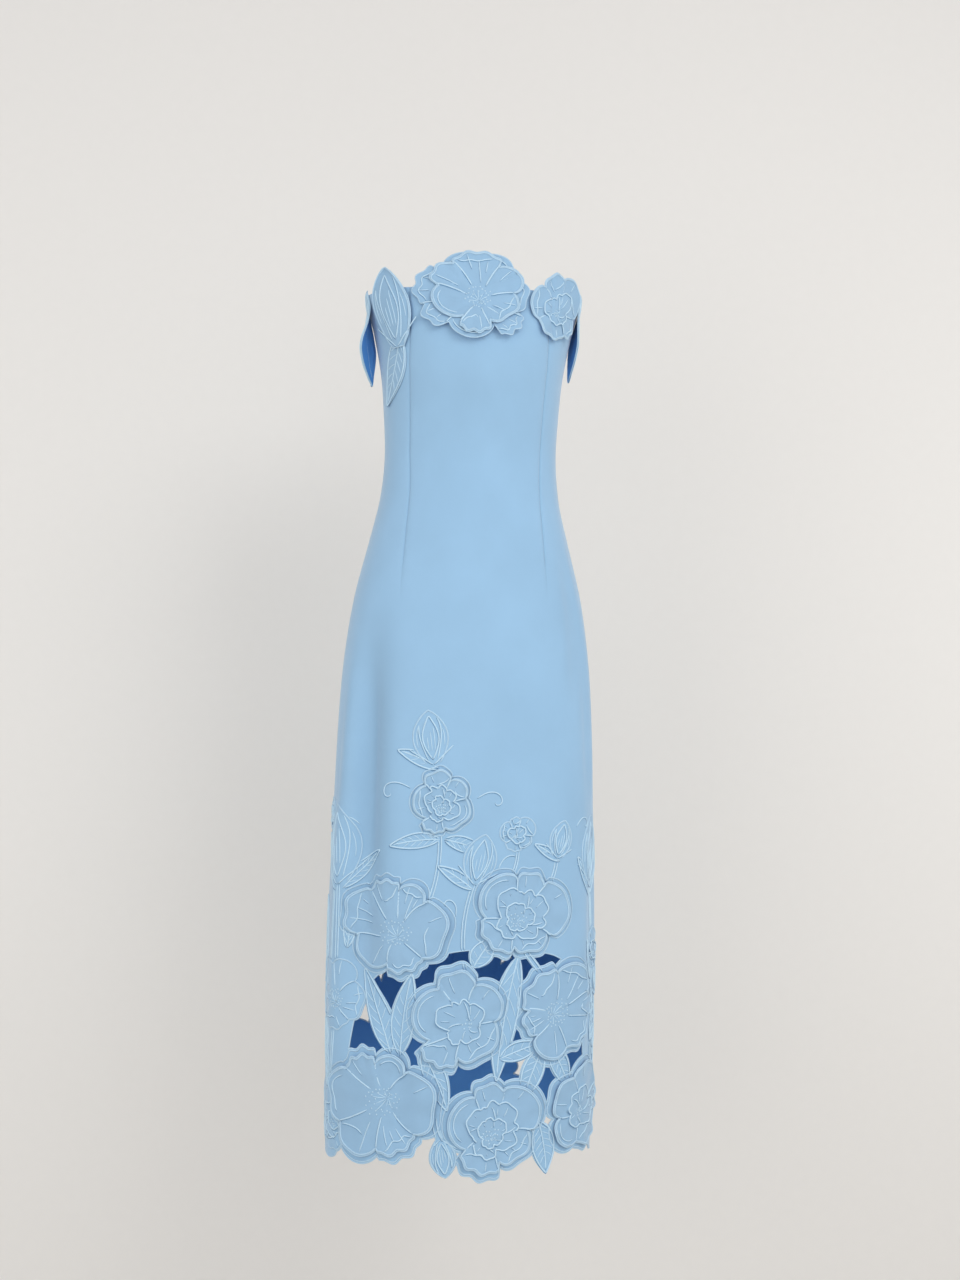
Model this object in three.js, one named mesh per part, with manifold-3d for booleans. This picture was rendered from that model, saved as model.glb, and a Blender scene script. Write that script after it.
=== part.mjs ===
// A strapless column dress in crepe, hollow as it is worn: front, two back panels, a zip at the
// centre back, flowers sewn on at the neckline and over an openwork hem with a scalloped edge.
//
// Millimetres, +Z up. The front faces -Y and the wearer's left is +X. The origin lies on the axis of
// the body at the height of the straight neckline, where the wearer's chest holds the dress.
//
// A place on the cloth is (s, z): s is the way round the dress from the centre front, towards the
// wearer's left, on a flat girth of GIRTH, and z is the height.

import * as THREE from "three";
import { mergeVertices } from "three/addons/utils/BufferGeometryUtils.js";
import Module from "manifold-3d";

const wasm = await Module();
wasm.setup();

// ---------------------------------------------------------------- driving dimensions

const GIRTH = 950; // hem girth, the flat measure that s is taken on
const SIDE = GIRTH / 4; // side seam
const BACK = GIRTH / 2; // centre back
const CLOTH = 1.5; // wall of a panel
const PETAL = 1.3; // wall of a sewn-on flower
const GAP = 0.3; // between neighbouring pieces
const HEM = -1175; // below the lowest scallop
const ABOVE = 20; // the ground reaches this far past the neckline before it is cut
const PLUG = 34; // reach of a cutting plug to each side of the cloth
const ARC_EVEN = 0.078; // evens out the arc length round an ellipse
const SQUARE = 0.035; // how far the section fills its corners
const PROBE = 2; // half the step that a normal is measured over

// Half width, front depth and back depth of the dress at each height.
const SECTIONS = [
  { z: 70, half: 141, front: 103, back: 84 },
  { z: 0, half: 144, front: 108, back: 88 },
  { z: -50, half: 132, front: 120, back: 90 },
  { z: -104, half: 122, front: 116, back: 85 },
  { z: -158, half: 117.5, front: 98, back: 77 },
  { z: -212, half: 115.5, front: 87, back: 74 },
  { z: -266, half: 120.5, front: 89, back: 84 },
  { z: -320, half: 133, front: 95, back: 100 },
  { z: -401, half: 153, front: 102, back: 119 },
  { z: -482, half: 165, front: 106, back: 127 },
  { z: -563, half: 171, front: 108, back: 126 },
  { z: -700, half: 176, front: 110, back: 121 },
  { z: -833, half: 180, front: 112, back: 118 },
  { z: -1000, half: 180.5, front: 114, back: 117 },
  { z: -1180, half: 178, front: 116, back: 117 },
];

// Soft folds: each runs from (s, top) to (low_s, low); a negative depth is a ridge.
const FOLDS = [
  { s: -150, top: -430, low_s: -138, low: -815, width: 26, depth: 5 },
  { s: 158, top: -320, low_s: 150, low: -560, width: 24, depth: 3.5 },
  { s: -196, top: -560, low_s: -188, low: -1100, width: 30, depth: -3.5 },
  { s: -96, top: -850, low_s: -84, low: -1150, width: 30, depth: 6 },
  { s: 196, top: -620, low_s: 186, low: -1120, width: 30, depth: 4 },
  { s: 330, top: -480, low_s: 342, low: -900, width: 30, depth: 5 },
  { s: 420, top: -760, low_s: 410, low: -1140, width: 28, depth: 4 },
  { s: 612, top: -430, low_s: 600, low: -820, width: 26, depth: 4 },
  { s: 560, top: -800, low_s: 574, low: -1150, width: 30, depth: -4 },
];

// The two long front darts, from the neckline to the hip.
const DART_LINE = [
  { z: 0, s: 113 },
  { z: -100, s: 133 },
  { z: -212, s: 135 },
  { z: -401, s: 111 },
  { z: -1200, s: 111 },
];
const DART_END = -407;
const DART_FADE = 60; // the groove dies out over this height
const DART_GROOVE = { half: 5, depth: 0.8 };

const ROWS = [
  0, -50, -100, -155, -212, -266, -330, -407, -500, -610, -720, -810, -885, -960, -1030, -1100, HEM,
];
const ROWS_ABOVE = [60, 30]; // where flowers stand above the neckline
const FRONT_COLUMNS = { outer: 3, inner: 6 };
const BACK_COLUMNS = 7;

// Lower edge of the plain ground on the front; below it only the flowers and leaves hold the hem.
const GROUND = [
  { s: -SIDE - 4, low: -1134 },
  { s: -205, low: -1143 },
  { s: -172, low: -1130 },
  { s: -160, low: -1010 },
  { s: -146, low: -925 },
  { s: -110, low: -880 },
  { s: -50, low: -862 },
  { s: 0, low: -852 },
  { s: 60, low: -856 },
  { s: 118, low: -862 },
  { s: 150, low: -905 },
  { s: 164, low: -985 },
  { s: 176, low: -1110 },
  { s: 205, low: -1140 },
  { s: SIDE + 4, low: -1134 },
];

// Behind, a strip on each side of the centre back seam runs down to the hem as well.
const SEAM_STRIP = { half: 13, high: -860, low: -1144 };

// Open flowers: centre, reach of a petal, turn of the first petal and number of petals. The raised
// ones carry a second, sewn-on flower; the rest are stitched flat on the panel.
const BLOOMS = [
  { name: "a", s: -98, z: -824, size: 76, turn: 10, petals: 6, raised: true },
  { name: "b", s: 66, z: -806, size: 68, turn: 40, petals: 5, raised: true },
  { name: "c", s: -14, z: -942, size: 72, turn: 25, petals: 5, raised: true },
  { name: "d", s: 122, z: -936, size: 70, turn: -10, petals: 6, raised: true },
  { name: "e", s: -116, z: -1056, size: 84, turn: 0, petals: 6, raised: true },
  { name: "f", s: 34, z: -1080, size: 70, turn: 15, petals: 5, raised: true },
  { name: "g", s: 166, z: -1068, size: 68, turn: -30, petals: 5, raised: true },
  { name: "h", s: -40, z: -664, size: 46, turn: 20, petals: 5, raised: true },
  { name: "i", s: -186, z: -922, size: 52, turn: 5, petals: 5, raised: false },
  { name: "j", s: -190, z: -1086, size: 46, turn: 0, petals: 5, raised: false },
];

const RAISED_BACK = ["a", "b", "c", "e", "g"]; // the sewn-on flowers behind

// Buds from the foot, and leaves from foot to tip, that bridge the openings or hang below the hem.
const BUDS = [{ s: -34, z: -1096, length: 50, turn: 172 }];
const LEAVES = [
  { s: -98, z: -990, tip_s: -138, tip_z: -884, width: 32, bend: -0.12 },
  { s: -86, z: -992, tip_s: -72, tip_z: -884, width: 32, bend: 0.1 },
  { s: 4, z: -876, tip_s: 30, tip_z: -838, width: 30, bend: 0.1 },
  { s: 62, z: -862, tip_s: 36, tip_z: -1024, width: 36, bend: -0.1 },
  { s: -58, z: -984, tip_s: -26, tip_z: -1060, width: 30, bend: 0.12 },
  { s: 96, z: -982, tip_s: 70, tip_z: -1052, width: 30, bend: -0.1 },
  { s: 106, z: -982, tip_s: 136, tip_z: -1040, width: 28, bend: 0.1 },
  { s: 40, z: -994, tip_s: 94, tip_z: -976, width: 26, bend: 0.1 },
  { s: 92, z: -1078, tip_s: 104, tip_z: -1146, width: 34, bend: 0.12 },
];
const OPENWORK_TOP = -750; // flowers above this only lie on plain cloth
const STEMS = [
  { s: -34, z: -1100, end_s: -42, end_z: -1070, bow: 2, width: 7 },
  { s: 66, z: -850, end_s: 92, end_z: -886, bow: 0, width: 7 },
];

// The flowers and leaves sewn along the neckline: seat is the gap under the piece at its middle, and
// lift is how far its rim stands off beyond that.
const NECKLINE = [
  { name: "neck_bloom_lower", kind: "bloom", s: -13, z: -12, size: 93, tall: 0.66, turn: 8, petals: 7,
    seat: GAP, lift: 3 },
  { name: "neck_bloom_upper", kind: "bloom", s: -9, z: -8, size: 79, tall: 0.66, turn: 34, petals: 6,
    seat: 2 * GAP + PETAL, lift: 5 },
  { name: "neck_bloom_side", kind: "bloom", s: 132, z: -18, size: 50, tall: 0.95, turn: 10, petals: 5,
    seat: GAP, lift: 3 },
  { name: "neck_bud", kind: "bud", s: -146, z: -76, length: 104, turn: -4,
    seat: 3 * GAP + PETAL, lift: 3 },
  { name: "neck_leaf_front", kind: "leaf", s: -142, z: -62, tip_s: -192, tip_z: -148, width: 42,
    bend: 0.1, seat: GAP, lift: 0.6 },
  { name: "neck_leaf_right", kind: "leaf", s: -214, z: 6, tip_s: -242, tip_z: -116, width: 44,
    bend: 0.1, seat: GAP, lift: 10 },
  { name: "neck_leaf_left", kind: "leaf", s: 206, z: 10, tip_s: 226, tip_z: -104, width: 44,
    bend: -0.1, seat: GAP, lift: 6 },
];

// The zip: its tape lies inside the centre back seam, the slider is at the top, and the pull tab
// hangs outside from a bar through the slider's eye.
const ZIP = {
  top: -5, low: -420, half: 12, tape: 1.1,
  slot_half: 1.6, slot_low: -22,
  axis_z: -13, axis_out: 4.2,
  body: { wide: 8, deep: 3, tall: 13 },
  neck_half: 1.2, neck_tall: 4,
  eye_out: 3, eye_in: 1.3, eye_half: 0.8,
  bar: 0.7,
  tab: { thick: 1.4, half: 2.9, above: 1.2, window: 1.4, clear: 3.7, drop: 4.6, length: 27 },
};

// ---------------------------------------------------------------- the dress surface

const mix = (a, b, t) => a + (b - a) * t;
const smooth = (t) => t * t * (3 - 2 * t);
const clamp01 = (t) => Math.min(1, Math.max(0, t));

// Value of one column of a table at a height, smoothly through its rows, which go downwards.
function through(rows, column, z) {
  const last = rows.length - 2;
  let i = rows.findIndex((row, k) => k > 0 && z >= row.z) - 1;
  if (i < 0) i = z > rows[0].z ? 0 : last;
  const slope = (k) => {
    const above = rows[Math.max(0, k - 1)];
    const below = rows[Math.min(last + 1, k + 1)];
    return (below[column] - above[column]) / (below.z - above.z);
  };
  const [a, b] = [rows[i], rows[i + 1]];
  const run = b.z - a.z;
  const t = clamp01((z - a.z) / run);
  const bend = t * (1 - t) * run;
  return mix(a[column], b[column], smooth(t)) + bend * ((1 - t) * slope(i) - t * slope(i + 1));
}

// Straight from row to row of a table, by its key column.
function along(rows, key, column, at) {
  const order = Math.sign(rows[rows.length - 1][key] - rows[0][key]);
  let i = rows.findIndex((row) => (row[key] - at) * order > 0) - 1;
  if (i < 0) i = (at - rows[0][key]) * order < 0 ? 0 : rows.length - 2;
  const [a, b] = [rows[i], rows[i + 1]];
  return mix(a[column], b[column], clamp01((at - a[key]) / (b[key] - a[key])));
}

const bell = (t) => (Math.abs(t) < 1 ? (0.5 + 0.5 * Math.cos(Math.PI * t)) : 0);
const roundTo = (s) => s - GIRTH * Math.round(s / GIRTH);

// How far the cloth stands out of its plain section: folds and dart grooves.
function relief(s, z) {
  let out = 0;
  for (const fold of FOLDS) {
    const t = (z - fold.top) / (fold.low - fold.top);
    const side = roundTo(s - mix(fold.s, fold.low_s, clamp01(t))) / fold.width;
    const fade = smooth(clamp01(3 * t)) * smooth(clamp01(3 * (1 - t)));
    out -= fold.depth * bell(side) * fade;
  }
  const off = Math.abs(Math.abs(roundTo(s)) - along(DART_LINE, "z", "s", z));
  const shut = clamp01((z - DART_END) / DART_FADE);
  out -= DART_GROOVE.depth * clamp01(1 - off / DART_GROOVE.half) * shut;
  return out;
}

function section(s, z) {
  const tau = (2 * Math.PI * s) / GIRTH;
  const angle = tau - ARC_EVEN * Math.sin(2 * tau);
  const front = Math.cos(angle) > 0;
  const full = 1 + SQUARE * Math.sin(2 * angle) ** 2;
  const depth = through(SECTIONS, front ? "front" : "back", z);
  const half = through(SECTIONS, "half", z);
  return new THREE.Vector3(half * full * Math.sin(angle), -depth * full * Math.cos(angle), z);
}

// A point of the cloth's outer face, moved out by a distance along the normal.
function cloth(s, z, out = 0) {
  const round = section(s + PROBE, z).sub(section(s - PROBE, z));
  const up = section(s, z + PROBE).sub(section(s, z - PROBE));
  const normal = round.cross(up).normalize();
  return section(s, z).addScaledVector(normal, out + relief(s, z));
}

// ---------------------------------------------------------------- solids

function solid(points, faces) {
  const vertProperties = new Float32Array(points.flatMap((p) => [p.x, p.y, p.z]));
  const triVerts = new Uint32Array(faces.flat());
  return new wasm.Manifold(new wasm.Mesh({ numProp: 3, vertProperties, triVerts }));
}

function fromGeometry(geometry) {
  const plain = geometry.clone();
  plain.deleteAttribute("normal");
  plain.deleteAttribute("uv");
  const merged = mergeVertices(plain, 1e-4);
  const vertProperties = new Float32Array(merged.attributes.position.array);
  const triVerts = new Uint32Array(merged.index.array);
  return new wasm.Manifold(new wasm.Mesh({ numProp: 3, vertProperties, triVerts }));
}

// A wall over a grid of (s, z) places, between two distances out from the cloth.
function wall(grid, inside, outside) {
  const [high, wide] = [grid.length, grid[0].length];
  const points = [];
  for (const distance of [inside, outside]) {
    for (const row of grid) {
      for (const [s, z] of row) points.push(cloth(s, z, distance(s, z)));
    }
  }
  const at = (layer, i, j) => layer * high * wide + i * wide + j;
  const faces = [];
  const quad = (a, b, c, d) => faces.push([a, b, c], [a, c, d]);
  for (let i = 0; i + 1 < high; i++) {
    for (let j = 0; j + 1 < wide; j++) {
      quad(at(1, i, j), at(1, i + 1, j), at(1, i + 1, j + 1), at(1, i, j + 1));
      quad(at(0, i, j), at(0, i, j + 1), at(0, i + 1, j + 1), at(0, i + 1, j));
    }
  }
  for (let i = 0; i + 1 < high; i++) {
    quad(at(0, i, 0), at(0, i + 1, 0), at(1, i + 1, 0), at(1, i, 0));
    const j = wide - 1;
    quad(at(1, i, j), at(1, i + 1, j), at(0, i + 1, j), at(0, i, j));
  }
  for (let j = 0; j + 1 < wide; j++) {
    quad(at(0, 0, j), at(1, 0, j), at(1, 0, j + 1), at(0, 0, j + 1));
    const i = high - 1;
    quad(at(1, i, j), at(0, i, j), at(0, i, j + 1), at(1, i, j + 1));
  }
  return solid(points, faces);
}

// A plug with the outline of a motif, standing through the cloth.
function plug(outline) {
  const flat = outline.map(([s, z]) => new THREE.Vector2(s, z));
  if (THREE.ShapeUtils.isClockWise(flat)) flat.reverse();
  const count = flat.length;
  const points = [-PLUG, PLUG].flatMap((out) => flat.map((p) => cloth(p.x, p.y, out)));
  const faces = [];
  for (const [a, b, c] of THREE.ShapeUtils.triangulateShape(flat, [])) {
    faces.push([a + count, b + count, c + count], [c, b, a]);
  }
  for (let i = 0; i < count; i++) {
    const next = (i + 1) % count;
    faces.push([i, next, next + count], [i, next + count, i + count]);
  }
  return solid(points, faces);
}

// ---------------------------------------------------------------- motifs, as outlines in (s, z)

const radians = (degrees) => (degrees * Math.PI) / 180;

function placed(outline, s, z, turn) {
  const [c, d] = [Math.cos(radians(turn)), Math.sin(radians(turn))];
  return outline.map(([x, y]) => [s + x * c + y * d, z - x * d + y * c]);
}

// Rim of an open flower: uneven petals, each a broad lobe with a ruffled edge.
function bloomRim({ s, z, size, petals, turn, tall = 1 }, steps) {
  const phase = 0.01 * s;
  const widths = Array.from({ length: petals }, (_, k) => 1 + 0.34 * Math.sin(2.6 * k + 1.3 * phase));
  const total = widths.reduce((sum, width) => sum + width);
  const rim = [];
  let start = 0;
  widths.forEach((width, k) => {
    const long = 1 + 0.08 * Math.sin(3.9 * k + 2 * phase);
    const notch = 0.15 + 0.05 * Math.sin(2.2 * k);
    for (let i = 0; i < steps; i++) {
      const across = (2 * i) / steps - 1;
      const lobe = 1 - notch * Math.abs(across) ** 3.5;
      const ruffle = 0.97 + 0.03 * Math.cos((1 + (k % 3)) * Math.PI * (across + 0.3 * Math.sin(k)));
      const angle = (2 * Math.PI * (start + (width * i) / steps)) / total + radians(turn);
      const reach = size * long * lobe * ruffle;
      rim.push([s + reach * Math.sin(angle), z + tall * reach * Math.cos(angle)]);
    }
    start += width;
  });
  return rim;
}

// Rim of a bud: narrow at the foot, full below the middle, pointed at the tip.
function budRim({ s, z, length, turn }, steps) {
  const side = [];
  for (let i = 0; i < steps; i++) {
    const t = i / steps;
    side.push([0.34 * length * Math.sin(Math.PI * (0.1 + 0.9 * t) ** 1.15) ** 0.75, length * t]);
  }
  const other = side.map(([x, y]) => [-x, y]).reverse();
  return placed([...side, [0, length], ...other], s, z, turn);
}

// Rim of a leaf from its foot to its tip, bowed to one side.
function leafRim({ s, z, tip_s, tip_z, width, bend }, steps) {
  const reach = Math.hypot(tip_s - s, tip_z - z);
  const length = reach / Math.hypot(1, bend);
  const turn = (Math.atan2(tip_s - s, tip_z - z) - Math.atan(bend)) * (180 / Math.PI);
  const edge = (side) => Array.from({ length: steps - 1 }, (_, i) => {
    const t = (i + 1) / steps;
    const half = (width / 2) * Math.sin(Math.PI * t ** 0.85) ** 0.85;
    return [bend * length * t * t + side * half, length * t];
  });
  return placed([[0, 0], ...edge(1), [bend * length, length], ...edge(-1).reverse()], s, z, turn);
}

function stemBand({ s, z, end_s, end_z, bow, width }, steps) {
  const reach = Math.hypot(end_s - s, end_z - z);
  const [nx, nz] = [-(end_z - z) / reach, (end_s - s) / reach];
  const edge = (side) => Array.from({ length: steps + 1 }, (_, i) => {
    const t = i / steps;
    const out = 4 * bow * t * (1 - t) + (side * width) / 2;
    return [mix(s, end_s, t) + nx * out, mix(z, end_z, t) + nz * out];
  });
  return [...edge(1), ...edge(-1).reverse()];
}

// The same hem seen from behind: the front's motifs carried round to the centre back.
const carried = (row) => ({
  ...row,
  s: BACK - row.s,
  ...("tip_s" in row && { tip_s: BACK - row.tip_s, bend: -row.bend }),
  ...("end_s" in row && { end_s: BACK - row.end_s, bow: -row.bow }),
  ...("turn" in row && { turn: -row.turn }),
});

// ---------------------------------------------------------------- panels

// Columns of the front: one runs down each dart with its groove beside it, and below the darts they
// are evenly spaced.
function frontColumns(z) {
  const dart = along(DART_LINE, "z", "s", z);
  const { outer, inner } = FRONT_COLUMNS;
  const groove = DART_GROOVE.half;
  const shaped = [];
  for (let i = 0; i <= outer; i++) shaped.push(mix(-SIDE, -dart - groove, i / outer));
  shaped.push(-dart);
  for (let i = 0; i <= inner; i++) shaped.push(mix(-dart + groove, dart - groove, i / inner));
  shaped.push(dart);
  for (let i = 0; i <= outer; i++) shaped.push(mix(dart + groove, SIDE, i / outer));
  const even = smooth(clamp01((DART_END - z) / DART_FADE));
  return shaped.map((s, k) => mix(s, mix(-SIDE, SIDE, k / (shaped.length - 1)), even));
}

const backColumns = (from) =>
  Array.from({ length: BACK_COLUMNS + 1 }, (_, i) => mix(from, from + SIDE, i / BACK_COLUMNS));

// The grid of a panel, its outermost columns moved in by half the seam gap.
function panelGrid(rows, columnsAt) {
  return rows.map((z) => {
    const columns = columnsAt(z);
    columns[0] += GAP / 2;
    columns[columns.length - 1] -= GAP / 2;
    return columns.map((s) => [s, z]);
  });
}

// Thick block over the plain ground, whose foot follows a table of lower edges.
function groundBlock(table) {
  const rows = 10;
  const grid = Array.from({ length: rows + 1 }, (_, i) =>
    table.map(({ s, low }) => [s, mix(ABOVE, low, i / rows)]));
  return wall(grid, () => -PLUG, () => PLUG);
}

function openwork(blooms, leaves, buds, stems) {
  return [
    ...blooms.filter(({ z }) => z < OPENWORK_TOP).map((row) => plug(bloomRim(row, 4))),
    ...leaves.map((row) => plug(leafRim(row, 3))),
    ...buds.map((row) => plug(budRim(row, 4))),
    ...stems.map((row) => plug(stemBand(row, 2))),
  ];
}

const join = (solids) => solids.reduce((sum, one) => sum.add(one));

const seamStrip = [
  { s: BACK - SEAM_STRIP.half - 1, low: SEAM_STRIP.high },
  { s: BACK - SEAM_STRIP.half, low: SEAM_STRIP.low },
  { s: BACK + SEAM_STRIP.half, low: SEAM_STRIP.low },
  { s: BACK + SEAM_STRIP.half + 1, low: SEAM_STRIP.high },
];
const besideStrip = ({ s }) => Math.abs(s - BACK) > SEAM_STRIP.half + 1;
const groundBack = [...GROUND.map(carried).filter(besideStrip), ...seamStrip].sort((a, b) => a.s - b.s);

const keepFront = join([groundBlock(GROUND), ...openwork(BLOOMS, LEAVES, BUDS, STEMS)]);
const keepBack = join([
  groundBlock(groundBack),
  ...openwork(BLOOMS.map(carried), LEAVES.map(carried), BUDS.map(carried), STEMS.map(carried)),
]);

function panel(grid, keep) {
  return wall(grid, () => -CLOTH, () => 0).intersect(keep);
}

// The notch at the top of the centre back that the slider's neck stands in.
function zipSlot() {
  const place = cloth(BACK, 0);
  const box = new THREE.BoxGeometry(2 * ZIP.slot_half, 40, 2 * -ZIP.slot_low);
  box.translate(place.x, place.y, 0);
  return fromGeometry(box);
}

// ---------------------------------------------------------------- sewn-on flowers

// The part of the panels' own grid that lies under an outline, moved out to carry a flower.
function patch(outline) {
  const span = (k) => [Math.min(...outline.map((p) => p[k])), Math.max(...outline.map((p) => p[k]))];
  const [[left, right], [low, high]] = [span(0), span(1)];
  const around = (z) => [
    ...backColumns(-BACK).slice(0, -1),
    ...frontColumns(z),
    ...backColumns(SIDE).slice(1),
    ...backColumns(BACK).slice(1),
  ];
  const rows = [...ROWS_ABOVE, ...ROWS];
  const first = rows.findLastIndex((z) => z > high);
  const last = rows.findIndex((z) => z < low);
  const kept = rows.slice(first, last + 1);
  const lists = kept.map(around);
  const count = lists[0].length;
  const indices = [...Array(count).keys()];
  const from = indices.findLast((j) => lists.every((list) => list[j] < left));
  const to = indices.find((j) => lists.every((list) => list[j] > right));
  return lists.map((list, i) => list.slice(from, to + 1).map((s) => [s, kept[i]]));
}

function sewnOn(outline, { s, z, seat, lift, reach }) {
  const rise = (ps, pz) => lift * clamp01((2 * Math.hypot(ps - s, pz - z)) / reach - 1) ** 2;
  const inside = (ps, pz) => seat + rise(ps, pz);
  const outside = (ps, pz) => seat + PETAL + rise(ps, pz);
  return wall(patch(outline), inside, outside).intersect(plug(outline));
}

const INNER_SIZE = 0.86; // a sewn-on flower against the flower it covers
const FLAT_SIZE = 50; // smaller flowers lie flat, sewn down all over

function hemFlower(row) {
  const inner = { ...row, size: row.size * INNER_SIZE };
  const lift = row.size > FLAT_SIZE ? 0.05 * row.size : 0;
  return sewnOn(bloomRim(inner, 3), { ...row, seat: GAP, lift, reach: row.size });
}

function neckPiece(row) {
  const outline = { bloom: bloomRim, bud: budRim, leaf: leafRim }[row.kind](row, 4);
  const reach = row.size ?? row.length ?? Math.hypot(row.tip_s - row.s, row.tip_z - row.z);
  return sewnOn(outline, { ...row, reach });
}

// ---------------------------------------------------------------- zip

function zipTape() {
  const edges = [BACK - ZIP.half, BACK + ZIP.half];
  const corners = [[edges[0], ZIP.top], [edges[1], ZIP.top], [edges[1], ZIP.low], [edges[0], ZIP.low]];
  const inside = -CLOTH - GAP - ZIP.tape;
  const lining = wall(patch(corners), () => inside, () => inside + ZIP.tape);
  const rows = [ZIP.top, ...ROWS.filter((z) => z < ZIP.top && z > ZIP.low), ZIP.low];
  const block = wall(rows.map((z) => edges.map((s) => [s, z])), () => -PLUG, () => PLUG);
  return lining.intersect(block).subtract(zipSlot());
}

const zipAxis = new THREE.Vector3(0, cloth(BACK, ZIP.axis_z).y + ZIP.axis_out, ZIP.axis_z);

function box(wide, deep, tall, x, y, z) {
  const geometry = new THREE.BoxGeometry(wide, deep, tall);
  geometry.translate(x, y, z);
  return fromGeometry(geometry);
}

// An extrusion across X: the shape is drawn as (y, z) from the zip's axis.
function acrossX(shape, half) {
  const geometry = new THREE.ExtrudeGeometry(shape, {
    depth: 2 * half, bevelEnabled: false, curveSegments: 10,
  });
  geometry.translate(0, 0, -half);
  geometry.applyMatrix4(new THREE.Matrix4().set(
    0, 0, 1, zipAxis.x,
    1, 0, 0, zipAxis.y,
    0, 1, 0, zipAxis.z,
    0, 0, 0, 1,
  ));
  return fromGeometry(geometry);
}

function zipSlider() {
  const eye = new THREE.Shape().absarc(0, 0, ZIP.eye_out, 0, 2 * Math.PI);
  eye.holes.push(new THREE.Path().absarc(0, 0, ZIP.eye_in, 0, 2 * Math.PI, true));
  const { wide, deep, tall } = ZIP.body;
  const face = cloth(BACK, ZIP.axis_z - tall / 2).y;
  const bodyOut = Math.min(face, cloth(BACK, ZIP.axis_z + tall / 2).y) - CLOTH - 2 * GAP - ZIP.tape;
  const neckIn = bodyOut - deep / 2;
  const neckOut = zipAxis.y - 0.75 * ZIP.eye_out;
  return join([
    acrossX(eye, ZIP.eye_half),
    box(wide, deep, tall, 0, bodyOut - deep / 2, ZIP.axis_z),
    box(2 * ZIP.neck_half, neckOut - neckIn, ZIP.neck_tall, 0, (neckOut + neckIn) / 2, ZIP.axis_z),
  ]);
}

// The tab: two arms on a bar through the eye, joined below into a drop-shaped plate.
function zipTab() {
  const { thick, half, above, window, clear, drop, length } = ZIP.tab;
  const outline = new THREE.Shape();
  outline.moveTo(-half, above);
  outline.lineTo(half, above);
  outline.lineTo(half, -clear);
  outline.quadraticCurveTo(drop, -length, 0, -length);
  outline.quadraticCurveTo(-drop, -length, -half, -clear);
  outline.closePath();
  const plate = new THREE.ExtrudeGeometry(outline, {
    depth: thick, bevelEnabled: false, curveSegments: 8,
  });
  plate.translate(0, 0, -thick / 2);
  plate.rotateX(Math.PI / 2);
  plate.translate(zipAxis.x, zipAxis.y, zipAxis.z);
  const tall = 2 * clear;
  const gap = box(2 * window, 2 * thick, tall, 0, zipAxis.y, zipAxis.z - clear + tall / 2);
  const bar = new THREE.Shape().absarc(0, 0, ZIP.bar, 0, 2 * Math.PI);
  return fromGeometry(plate).subtract(gap).add(acrossX(bar, (window + half) / 2));
}

// ---------------------------------------------------------------- the dress

const FINISHES = {
  crepe: { color: 0x9cc3e2, roughness: 0.82, metalness: 0 },
  petal: { color: 0x9abfdd, roughness: 0.85, metalness: 0 },
  tape: { color: 0x8fb4d4, roughness: 0.9, metalness: 0 },
  zip: { color: 0x9fb9cf, roughness: 0.35, metalness: 0.6 },
};

const dress = new THREE.Group();

function sew(name, finish, manifold) {
  const { vertProperties, triVerts } = manifold.getMesh();
  const geometry = new THREE.BufferGeometry();
  geometry.setAttribute("position", new THREE.BufferAttribute(vertProperties, 3));
  geometry.setIndex(new THREE.BufferAttribute(triVerts, 1));
  const mesh = new THREE.Mesh(geometry, new THREE.MeshStandardMaterial(FINISHES[finish]));
  mesh.name = name;
  dress.add(mesh);
}

sew("front", "crepe", panel(panelGrid(ROWS, frontColumns), keepFront));
sew("back_left", "crepe", panel(panelGrid(ROWS, () => backColumns(SIDE)), keepBack)
  .subtract(zipSlot()));
sew("back_right", "crepe", panel(panelGrid(ROWS, () => backColumns(BACK)), keepBack)
  .subtract(zipSlot()));

for (const row of BLOOMS.filter(({ raised }) => raised)) {
  sew(`hem_bloom_front_${row.name}`, "petal", hemFlower(row));
}
for (const row of BLOOMS.filter(({ name }) => RAISED_BACK.includes(name))) {
  sew(`hem_bloom_back_${row.name}`, "petal", hemFlower(carried(row)));
}
for (const row of NECKLINE) sew(row.name, "petal", neckPiece(row));

sew("zip_tape", "tape", zipTape());
sew("zip_slider", "zip", zipSlider());
sew("zip_pull_tab", "zip", zipTab());

export default dress;
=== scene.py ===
import math
from collections import namedtuple
from functools import cache

import bpy
import numpy as np
from mathutils import Matrix, Vector, kdtree
from mathutils.geometry import delaunay_2d_cdt


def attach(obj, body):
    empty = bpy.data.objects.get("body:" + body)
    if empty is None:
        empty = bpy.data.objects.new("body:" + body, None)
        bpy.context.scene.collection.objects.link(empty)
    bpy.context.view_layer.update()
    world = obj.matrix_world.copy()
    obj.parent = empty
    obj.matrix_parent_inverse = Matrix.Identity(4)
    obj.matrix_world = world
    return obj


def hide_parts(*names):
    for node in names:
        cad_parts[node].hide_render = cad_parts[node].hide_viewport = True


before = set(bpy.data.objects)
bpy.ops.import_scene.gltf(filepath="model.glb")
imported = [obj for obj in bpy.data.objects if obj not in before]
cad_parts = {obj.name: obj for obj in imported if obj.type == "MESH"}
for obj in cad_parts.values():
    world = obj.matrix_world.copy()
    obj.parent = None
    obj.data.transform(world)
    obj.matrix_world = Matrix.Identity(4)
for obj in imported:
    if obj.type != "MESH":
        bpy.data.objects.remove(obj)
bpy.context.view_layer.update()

bl_info = {
    "name": "Column dress",
    "version": (1, 0, 0),
    "blender": (4, 5, 0),
    "location": "3D View > Sidebar > Dress",
    "description": "A strapless column dress in crepe with raised flowers and an openwork hem",
    "category": "Object",
}

MM = 0.001

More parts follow.
